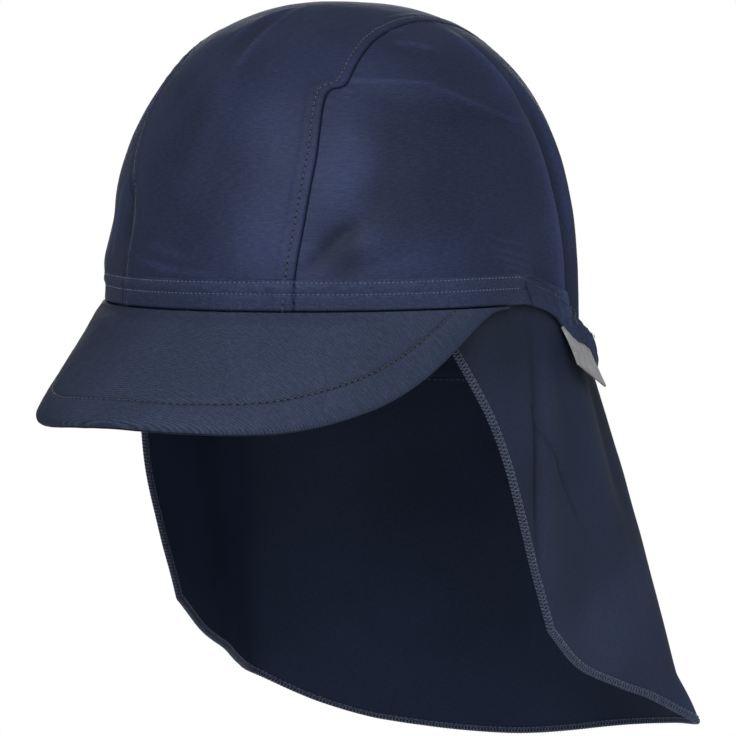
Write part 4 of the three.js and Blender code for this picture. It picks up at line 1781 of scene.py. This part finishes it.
@dataclass
class Peak:
    """Soft peak: two layers of knit over a thin pad, edge-stitched all round."""

    form: CapForm
    wardrobe: Wardrobe
    needle: Needle
    length: float = 54.0
    thickness: float = 3.6
    root_thickness: float = 2.4
    end: float = 80.0
    bow: float = 6.0
    spread: float = 0.79
    band_thickness: float = 1.8
    band_stand: float = 0.3
    gap: float = 0.3
    stitch_inset: float = 9.6
    edge_stitch: StitchRow = StitchRow(pitch=2.2, length=1.3, thickness=0.38, lift=-0.02, hole=0.75)
    plump_height: float = 0.25
    plump_spread: float = 3.2
    valley_depth: float = 0.38
    valley_spread: float = 0.8
    painted_shade_end_tone: float = 0.1
    columns: int = 220
    rows: int = 76
    half_sections: tuple[PeakSection, ...] = (
        PeakSection(0, 1.0, 33),
        PeakSection(20, 0.9, 41),
        PeakSection(40, 0.6, 57),
        PeakSection(60, 0.25, 75),
        PeakSection(67, 0.13, 80),
        PeakSection(74, 0.035, 88),
        PeakSection(80, 0.012, 95),
    )

    def build(self) -> list[bpy.types.Object]:
        """Builds the peak and its edge stitching.

        Returns:
            The pieces.
        """
        mirrored = [row._replace(around=-row.around) for row in self.half_sections[:0:-1]]
        sections = mirrored + list(self.half_sections)
        around = np.linspace(-self.end, self.end, self.columns + 1)[None, :]
        step = closer_at_ends(self.rows, 0.75, start=False)[:, None]
        share = read_column(sections, "around", "length", around)
        slope = np.radians(read_column(sections, "around", "slope", around) + self.bow * (step - 0.5))
        run = step * share * self.length
        inside = self.band_thickness - self.band_stand
        root = self.form.at(around, self.form.rim(around))
        turned = np.radians(around)
        zero = np.zeros(around.shape)
        out = unit(np.stack([self.spread * np.sin(turned), -np.cos(turned), zero], -1))
        middle = self.form.off(root, np.full(around.shape, self.root_thickness / 2.0 - inside))
        middle = middle + out * (run * np.cos(slope))[..., None]
        middle[..., 2] -= self.gap + run * np.sin(slope)
        normal = out * np.sin(slope)[..., None]
        normal[..., 2] = np.cos(slope)
        turn = ease(step, 0.0, 0.2)
        across = unit(lerp(np.broadcast_to(out, normal.shape), normal, turn[..., None]))
        edge = middle[-1]
        from_edge = np.linalg.norm(middle[:, :, None, :] - edge[None, None, :, :], axis=-1).min(-1)
        full = lerp(self.root_thickness, self.thickness, turn * share)
        radius = self.thickness / 2.0
        round_share = np.sqrt(np.clip(1.0 - (1.0 - np.clip(from_edge / radius, 0.0, 1.0)) ** 2, 0.0, 1.0))
        plump = self.plump_height * bell(from_edge, self.stitch_inset / 2.0, self.plump_spread) * turn
        valley = self.valley_depth * bell(from_edge, self.stitch_inset, self.valley_spread) * turn
        half = full / 2.0 * round_share + plump - valley
        wave = 0.16 * cloth_wave(middle, 30.0, 31) + 0.05 * cloth_wave(middle, 8.0, 32)
        tops = middle + across * (half + wave * turn)[..., None]
        unders = middle - across * (half - wave * turn)[..., None]
        # Painted shade along the groove of the edge stitching.
        shade = 0.45 * bell(from_edge, self.stitch_inset, 0.45) * turn
        tilt = math.radians(self.half_sections[0].slope)
        run_down = -tops[..., 1] * math.cos(tilt) - tops[..., 2] * math.sin(tilt)
        uv = np.stack([tops[..., 0], run_down], -1)
        # Painted shade: the peak's tone falls towards the wearer's right end, where less light reaches it.
        tone = self.painted_shade_end_tone + (1.0 - self.painted_shade_end_tone) * ease(tops[..., 0], -0.9 * self.form.half_width, 0.0)
        finishes = (self.wardrobe.peak, self.wardrobe.peak)
        piece = cloth_shell("peak_pad", tops, unders, finishes, shade, uv, tone)
        seat_piece(piece, ("peak",))
        pieces = [piece]
        reach = from_edge[0]
        inner_columns = np.flatnonzero(reach > self.stitch_inset + 0.5)
        for word, face, sign in (("upper", tops, 1.0), ("under", unders, -1.0)):
            path, facing = [], []
            for column in inner_columns:
                order = from_edge[::-1, column]
                at = np.interp(self.stitch_inset, order, np.arange(len(order))[::-1])
                low = int(at)
                part = at - low
                high = min(low + 1, len(order) - 1)
                path.append(lerp(face[low, column], face[high, column], part))
                facing.append(across[low, column] * sign)
            row = self.needle.row(
                f"peak_{word}_stitches",
                np.array(path),
                np.array(facing),
                self.edge_stitch,
                self.wardrobe.peak_thread,
            )
            pieces.append(seat_piece(row))
        return pieces


# ---- The neck flap


class HemPlace(NamedTuple):
    """Where the hem hangs below a place round the rim, as shares of the cap's sizes."""

    around: float
    side: float
    back: float
    left: float
    right: float


class HangingPlace(NamedTuple):
    """Where the hem hangs on one side, with that side's drop."""

    around: float
    side: float
    back: float
    drop: float


class EdgePlace(NamedTuple):
    """How far back and out the front edge has gone by a share of its way down."""

    down: float
    back: float
    out: float


class Drape(NamedTuple):
    """A fold in the flap: place round the rim, stretch down the flap, and shares of the drape sizes."""

    around: float
    start: float
    finish: float
    spread: float
    height: float
    lean: float = 0.0


@dataclass
class NeckFlap:
    """One hanging sheet of knit, sewn inside the rim, with an overlocked edge."""

    form: CapForm
    wardrobe: Wardrobe
    needle: Needle
    cloth: float = 1.2
    length: float = 125.0
    start: float = 53.0
    tuck: float = 5.0
    band_thickness: float = 1.8
    band_stand: float = 0.3
    gap: float = 0.3
    drape_spread: float = 10.0
    drape_height: float = 3.0
    seam_below: float = 2.2
    seam_stitch: StitchRow = StitchRow(pitch=2.0, length=1.2, thickness=0.42, lift=0.05, hole=0.6)
    needle_stitch: StitchRow = StitchRow(pitch=1.9, length=1.7, thickness=0.4)
    edge_width: float = 2.3
    loop_pitch: float = 1.25
    loop_thickness: float = 0.32
    loop_slant: float = 27.0
    columns: int = 250
    rows: int = 120
    hem: tuple[HemPlace, ...] = (
        HemPlace(53, 1.0, 0.12, 0.59, 0.585),
        HemPlace(78, 1.02, 0.3, 0.695, 0.685),
        HemPlace(98, 1.08, 0.5, 0.76, 0.755),
        HemPlace(116, 1.15, 0.67, 0.81, 0.815),
        HemPlace(132, 1.19, 0.86, 0.885, 0.87),
        HemPlace(144, 0.99, 1.02, 0.91, 0.945),
        HemPlace(157, 0.68, 1.11, 0.94, 0.99),
        HemPlace(180, 0.0, 1.15, 1.0, 1.0),
    )
    front_edge: tuple[EdgePlace, ...] = (
        EdgePlace(0, 0, 0),
        EdgePlace(0.12, 0.25, 0.15),
        EdgePlace(0.34, 0.48, 0.62),
        EdgePlace(0.6, 0.66, 0.93),
        EdgePlace(1, 1, 1),
    )
    drapes: tuple[Drape, ...] = (
        Drape(91, 0, 0.85, 0.3, -0.8, -42),
        Drape(98, 0, 0.8, 0.35, 0.35, -42),
        Drape(64, 0.22, 0.62, 0.16, -0.45, 46),
        Drape(108, 0, 0.9, 0.9, 0.4),
        Drape(118, 0, 0.5, 0.6, -0.8),
        Drape(134, 0.86, 1.14, 0.8, 0.9),
        Drape(152, 0, 0.6, 0.8, -0.5),
        Drape(166, 0, 0.8, 0.8, 0.5),
        Drape(196, 0, 0.8, 0.9, 0.4),
        Drape(214, 0, 0.6, 0.8, -0.5),
        Drape(250, 0, 0.8, 1.0, 0.4),
    )

    def root(self, around: np.ndarray, above: np.ndarray) -> np.ndarray:
        """Places inside the rim where the flap's cloth has its middle.

        Args:
            around: Degrees round the head.
            above: Heights above the rim.

        Returns:
            The places.
        """
        inside = self.band_thickness - self.band_stand + self.gap + self.cloth / 2.0
        points = self.form.at(around, self.form.rim(around) + above)
        return self.form.off(points, self.form.bulge(around, above) - inside)

    def hem_place(self, around: np.ndarray) -> np.ndarray:
        """Places of the hem.

        Args:
            around: Degrees round the rim, from the left front edge to the right one.

        Returns:
            The places.
        """
        left = [HangingPlace(row.around, row.side, row.back, row.left) for row in self.hem]
        right = [HangingPlace(360 - row.around, -row.side, row.back, row.right) for row in self.hem[-2::-1]]
        rows = left + right
        x = self.form.half_width * read_column(rows, "around", "side", around)
        y = self.form.rear_reach * read_column(rows, "around", "back", around)
        drop = self.length * read_column(rows, "around", "drop", around)
        return np.stack([x, y, self.form.rim_lift - self.form.nape_drop - drop], -1)

    def drape_lift(self, around: np.ndarray, down: np.ndarray) -> np.ndarray:
        """How far the hanging folds stand out.

        Args:
            around: Degrees round the rim, one row.
            down: Shares of the way down, one column.

        Returns:
            A grid of distances, positive outwards.
        """
        height = np.zeros(np.broadcast_shapes(around.shape, down.shape))
        for fold in self.drapes:
            across = bell(around, fold.around + fold.lean * down, fold.spread * self.drape_spread)
            along = np.clip((down - fold.start) / (fold.finish - fold.start), 0.0, 1.0)
            height += fold.height * self.drape_height * across * np.sin(math.pi * along)
        return height

    def hanging(self, around: np.ndarray, down: np.ndarray) -> np.ndarray:
        """Middle of the flap's cloth.

        Args:
            around: Degrees round the rim, one row.
            down: Shares of the way down, one column.

        Returns:
            A grid of places.
        """
        top = self.root(around, np.zeros(around.shape))
        low = self.hem_place(around)
        point = lerp(top, low, down[..., None])
        near = 1.0 - np.minimum(around - self.start, 360.0 - self.start - around) / (180.0 - self.start)
        edges = np.array([self.start, 360.0 - self.start])
        spans = self.hem_place(edges) - self.root(edges, np.zeros(2))
        span = np.where((around <= 180.0)[..., None], spans[0], spans[1])
        out = read_column(self.front_edge, "down", "out", down) - down
        back = read_column(self.front_edge, "down", "back", down) - down
        point[..., 0] += out * span[..., 0] * near**2
        point[..., 1] += back * span[..., 1] * near**2
        turned = np.radians(around)
        outward = np.stack([np.sin(turned), -np.cos(turned), np.zeros(around.shape)], -1)
        return point + outward * self.drape_lift(around, down)[..., None]

    def build(self) -> list[bpy.types.Object]:
        """Builds the flap and its overlocked edge.

        Returns:
            The pieces.
        """
        around = lerp(self.start, 360.0 - self.start, closer_at_ends(self.columns, 0.35))[None, :]
        down = closer_at_ends(self.rows, 0.4)[:, None]
        hanging = self.hanging(around, down)
        normals = grid_normals(hanging)
        free = ease(down, 0.0, 0.25)
        wave = 0.5 * cloth_wave(hanging, 48.0, 41) + 0.06 * cloth_wave(hanging, 12.0, 42)
        hanging = hanging + normals * (wave * free)[..., None]
        tucked = self.root(around, np.linspace(self.tuck, self.tuck / 5.0, 5)[:, None])
        sheet = np.concatenate([tucked, hanging])
        normals = grid_normals(sheet)
        outer = sheet + normals * (self.cloth / 2.0)
        inner = sheet - normals * (self.cloth / 2.0)
        middle = outer.shape[0] // 2, outer.shape[1] // 2
        if outer[middle][1] < inner[middle][1]:
            outer, inner = inner, outer
        finishes = (self.wardrobe.flap, self.wardrobe.inside)
        # Painted shade near the rim, fading down the flap, and painted light on the crests of the drapes.
        low = 0.1 + 0.6 * down + 0.14 * self.drape_lift(around, down)
        tone = np.concatenate([np.zeros(tucked.shape[:-1]), low + 0.12 * cloth_wave(hanging, 30.0, 43)])
        piece = cloth_shell("neck_flap_cloth", outer, inner, finishes, stretch=np.clip(tone, 0.0, 1.3))
        seat_piece(piece, ("neck_flap",))
        seam_at = int(np.searchsorted(down[:, 0], self.seam_below / self.length)) + len(tucked)
        inward = unit(inner[seam_at] - outer[seam_at])
        seam_row = self.needle.row(
            "flap_seam_stitches", inner[seam_at], inward, self.seam_stitch, self.wardrobe.edge_thread
        )
        edge_rows = self.edge_rows(hanging) + [seat_piece(seam_row)]
        return [piece] + edge_rows

    def edge_rows(self, hanging: np.ndarray) -> list[bpy.types.Object]:
        """Sews the overlocked edge down the fronts and along the hem.

        Args:
            hanging: Grid of places of the flap's middle, below the rim.

        Returns:
            The loops and the needle row.
        """
        normals = grid_normals(hanging)
        edge = np.concatenate([hanging[:-1, 0], hanging[-1, :-1], hanging[::-1, -1]])
        facing = np.concatenate([normals[:-1, 0], normals[-1, :-1], normals[::-1, -1]])
        along = unit(np.gradient(edge, axis=0))
        inward = unit(np.cross(facing, along))
        toward = np.concatenate([hanging[:-1, 3], hanging[-4, :-1], hanging[::-1, -4]]) - edge
        inward *= np.sign((inward * toward).sum(-1, keepdims=True))
        keep = np.concatenate([[True], np.linalg.norm(np.diff(edge, axis=0), axis=-1) > 0.05])
        edge, facing, inward = edge[keep], facing[keep], inward[keep]
        half = self.edge_width / 2.0
        pieces = []
        for word, slant in (("forward", self.loop_slant), ("backward", -self.loop_slant)):
            loops = self.needle.overlock(
                f"flap_overlock_{word}",
                edge + inward * (half - 0.3),
                facing,
                width=self.edge_width,
                height=self.cloth + 0.5,
                pitch=self.loop_pitch,
                thickness=self.loop_thickness,
                slant=slant,
                thread=self.wardrobe.edge_thread,
            )
            pieces.append(seat_piece(loops))
        for word, sign in (("outer", 1.0), ("inner", -1.0)):
            line = edge + inward * (self.edge_width - 0.4) + facing * sign * (self.cloth / 2.0 + 0.12)
            stitches = self.needle.row(
                f"flap_needle_row_{word}", line, facing * sign, self.needle_stitch, self.wardrobe.edge_thread
            )
            pieces.append(seat_piece(stitches))
        return pieces


# ---- The label


@dataclass
class SideLabel:
    """Bare folded satin tape caught in the rim seam on the wearer's left."""

    form: CapForm
    wardrobe: Wardrobe
    start: float = 103.6
    end: float = 119.0
    length: float = 13.0
    curl: float = 0.35
    thickness: float = 0.9
    tilt: float = 25.0
    gap: float = 0.3
    columns: int = 60
    rows: int = 34

    def build(self) -> list[bpy.types.Object]:
        """Builds the label.

        Returns:
            The piece.
        """
        around = np.linspace(self.start, self.end, self.columns + 1)[None, :]
        share = closer_at_ends(self.rows, 0.6)[:, None]
        run = self.length * share
        tilt = math.radians(self.tilt)
        ends = np.array([self.start, self.end])
        root = self.form.at(ends, self.form.rim(ends))
        sewn = self.form.off(root, self.form.bulge(ends, np.zeros(2)) - 0.3)
        outward = unit(self.form.normal(root) * np.array([1.0, 1.0, 0.0]))
        across = ((around - self.start) / (self.end - self.start))[..., None]
        curl = self.curl * np.sin(math.pi * share) * (0.4 + 0.6 * np.cos(math.pi * across[..., 0]))
        hang = run * math.sin(tilt) + curl
        sheet = lerp(sewn[0], sewn[1], across) + lerp(outward[0], outward[1], across) * hang[..., None]
        sheet[..., 2] -= self.gap + run * math.cos(tilt)
        normals = grid_normals(sheet)
        near_fold = np.clip((1.0 - share) * self.length / (self.thickness / 2.0), 0.0, 1.0)
        half = self.thickness / 2.0 * np.sqrt(np.clip(1.0 - (1.0 - near_fold) ** 2, 0.0, 1.0))
        half = np.broadcast_to(half, sheet.shape[:-1])[..., None]
        outer = sheet + normals * half
        inner = sheet - normals * half
        piece = cloth_shell("label_tape", outer, inner, (self.wardrobe.tape, self.wardrobe.tape))
        seat_piece(piece, ("side_label",))
        return [piece]


# ---- Studio


class Lamp(NamedTuple):
    """A square soft light: its angles in degrees as seen from the cap, its side and its power."""

    name: str
    azimuth: float
    elevation: float
    side: float
    watts: float


@dataclass(frozen=True)
class Studio:
    """Pale floor, soft light and the camera at the photograph's angle."""

    azimuth: float = 32.5
    elevation: float = 3.3
    distance: float = 1.3
    lens: float = 199.35
    shift: tuple[float, float] = (0.039, -0.088)
    floor_height: float = -0.3
    floor_radius: float = 0.9
    backdrop: float = 1.0
    ambient: float = 0.31
    lamp_distance: float = 1.6
    lamps: tuple[Lamp, ...] = (
        Lamp("key_softbox", 34.0, 34.0, 1.0, 24.0),
        Lamp("fill_softbox", -70.0, 30.0, 1.4, 1.0),
        Lamp("rear_softbox", 212.5, 6.0, 0.8, 10.0),
    )

    def direction(self, azimuth: float, elevation: float) -> Vector:
        """Direction from the cap towards a place given by two angles in degrees."""
        a, e = math.radians(azimuth), math.radians(elevation)
        return Vector((math.sin(a) * math.cos(e), -math.cos(a) * math.cos(e), math.sin(e)))

    def hang(self, lamp: Lamp) -> None:
        """Adds a soft light aimed at the cap.

        Args:
            lamp: Its row in the table.
        """
        data = bpy.data.lights.new(lamp.name, "AREA")
        data.size = lamp.side
        data.energy = lamp.watts
        light = bpy.data.objects.new(lamp.name, data)
        towards = self.direction(lamp.azimuth, lamp.elevation)
        light.location = towards * self.lamp_distance
        light.rotation_mode = "QUATERNION"
        light.rotation_quaternion = (-towards).to_track_quat("-Z", "Y")
        bpy.context.scene.collection.objects.link(light)

    def build(self) -> None:
        """Builds the floor, the world, the lights and the camera."""
        scene = bpy.context.scene
        scene.view_settings.view_transform = "Standard"
        world = bpy.data.worlds.new("pale_studio")
        scene.world = world
        world.use_nodes = True
        world.node_tree.nodes.clear()
        seen = add_node(world.node_tree, "ShaderNodeLightPath").outputs["Is Camera Ray"]
        strength = add_node(
            world.node_tree, "ShaderNodeMapRange", {0: seen, 3: self.ambient, 4: self.backdrop}
        ).outputs[0]
        sky = add_node(
            world.node_tree, "ShaderNodeBackground", {"Color": (1.0, 1.0, 1.0, 1.0), "Strength": strength}
        ).outputs["Background"]
        add_node(world.node_tree, "ShaderNodeOutputWorld", {"Surface": sky})
        disc = bmesh.new()
        bmesh.ops.create_circle(disc, cap_ends=True, segments=128, radius=self.floor_radius)
        bmesh.ops.translate(disc, verts=disc.verts, vec=(0.0, 0.0, self.floor_height))
        sheet = bpy.data.meshes.new("studio_floor")
        disc.to_mesh(sheet)
        disc.free()
        floor = bpy.data.objects.new("studio_floor", sheet)
        scene.collection.objects.link(floor)
        paper = new_material("matt_white_paper_sweep")
        shader = add_node(
            paper.node_tree,
            "ShaderNodeBsdfPrincipled",
            {"Base Color": linear_colour("fbfbfb"), "Roughness": 0.9, "Specular IOR Level": 0.1},
        ).outputs["BSDF"]
        add_node(paper.node_tree, "ShaderNodeOutputMaterial", {"Surface": shader})
        floor.data.materials.append(paper)
        for lamp in self.lamps:
            self.hang(lamp)
        data = bpy.data.cameras.new("photo_camera")
        data.sensor_width = 36.0
        data.lens = self.lens
        data.shift_x, data.shift_y = self.shift
        data.clip_start, data.clip_end = 0.05, 50.0
        camera = bpy.data.objects.new("photo_camera", data)
        back = self.direction(self.azimuth, self.elevation)
        camera.location = back * self.distance
        camera.rotation_mode = "QUATERNION"
        camera.rotation_quaternion = (-back).to_track_quat("-Z", "Y")
        scene.collection.objects.link(camera)
        scene.camera = camera


def main() -> None:
    """Builds the cap piece by piece and reports each."""
    logging.basicConfig(level=logging.INFO, format="%(name)s: %(message)s", force=True)
    Studio().build()
    wardrobe = Wardrobe.build()
    needle = Needle(wardrobe.needle_hole)
    form = CapForm()
    for part in (
        Crown(form, wardrobe, needle),
        HeadBand(form, wardrobe, needle),
        Peak(form, wardrobe, needle),
        NeckFlap(form, wardrobe, needle),
        SideLabel(form, wardrobe),
    ):
        pieces = part.build()
        log.info("%s done, %d pieces", type(part).__name__, len(pieces))


if __name__ == "__main__":
    main()
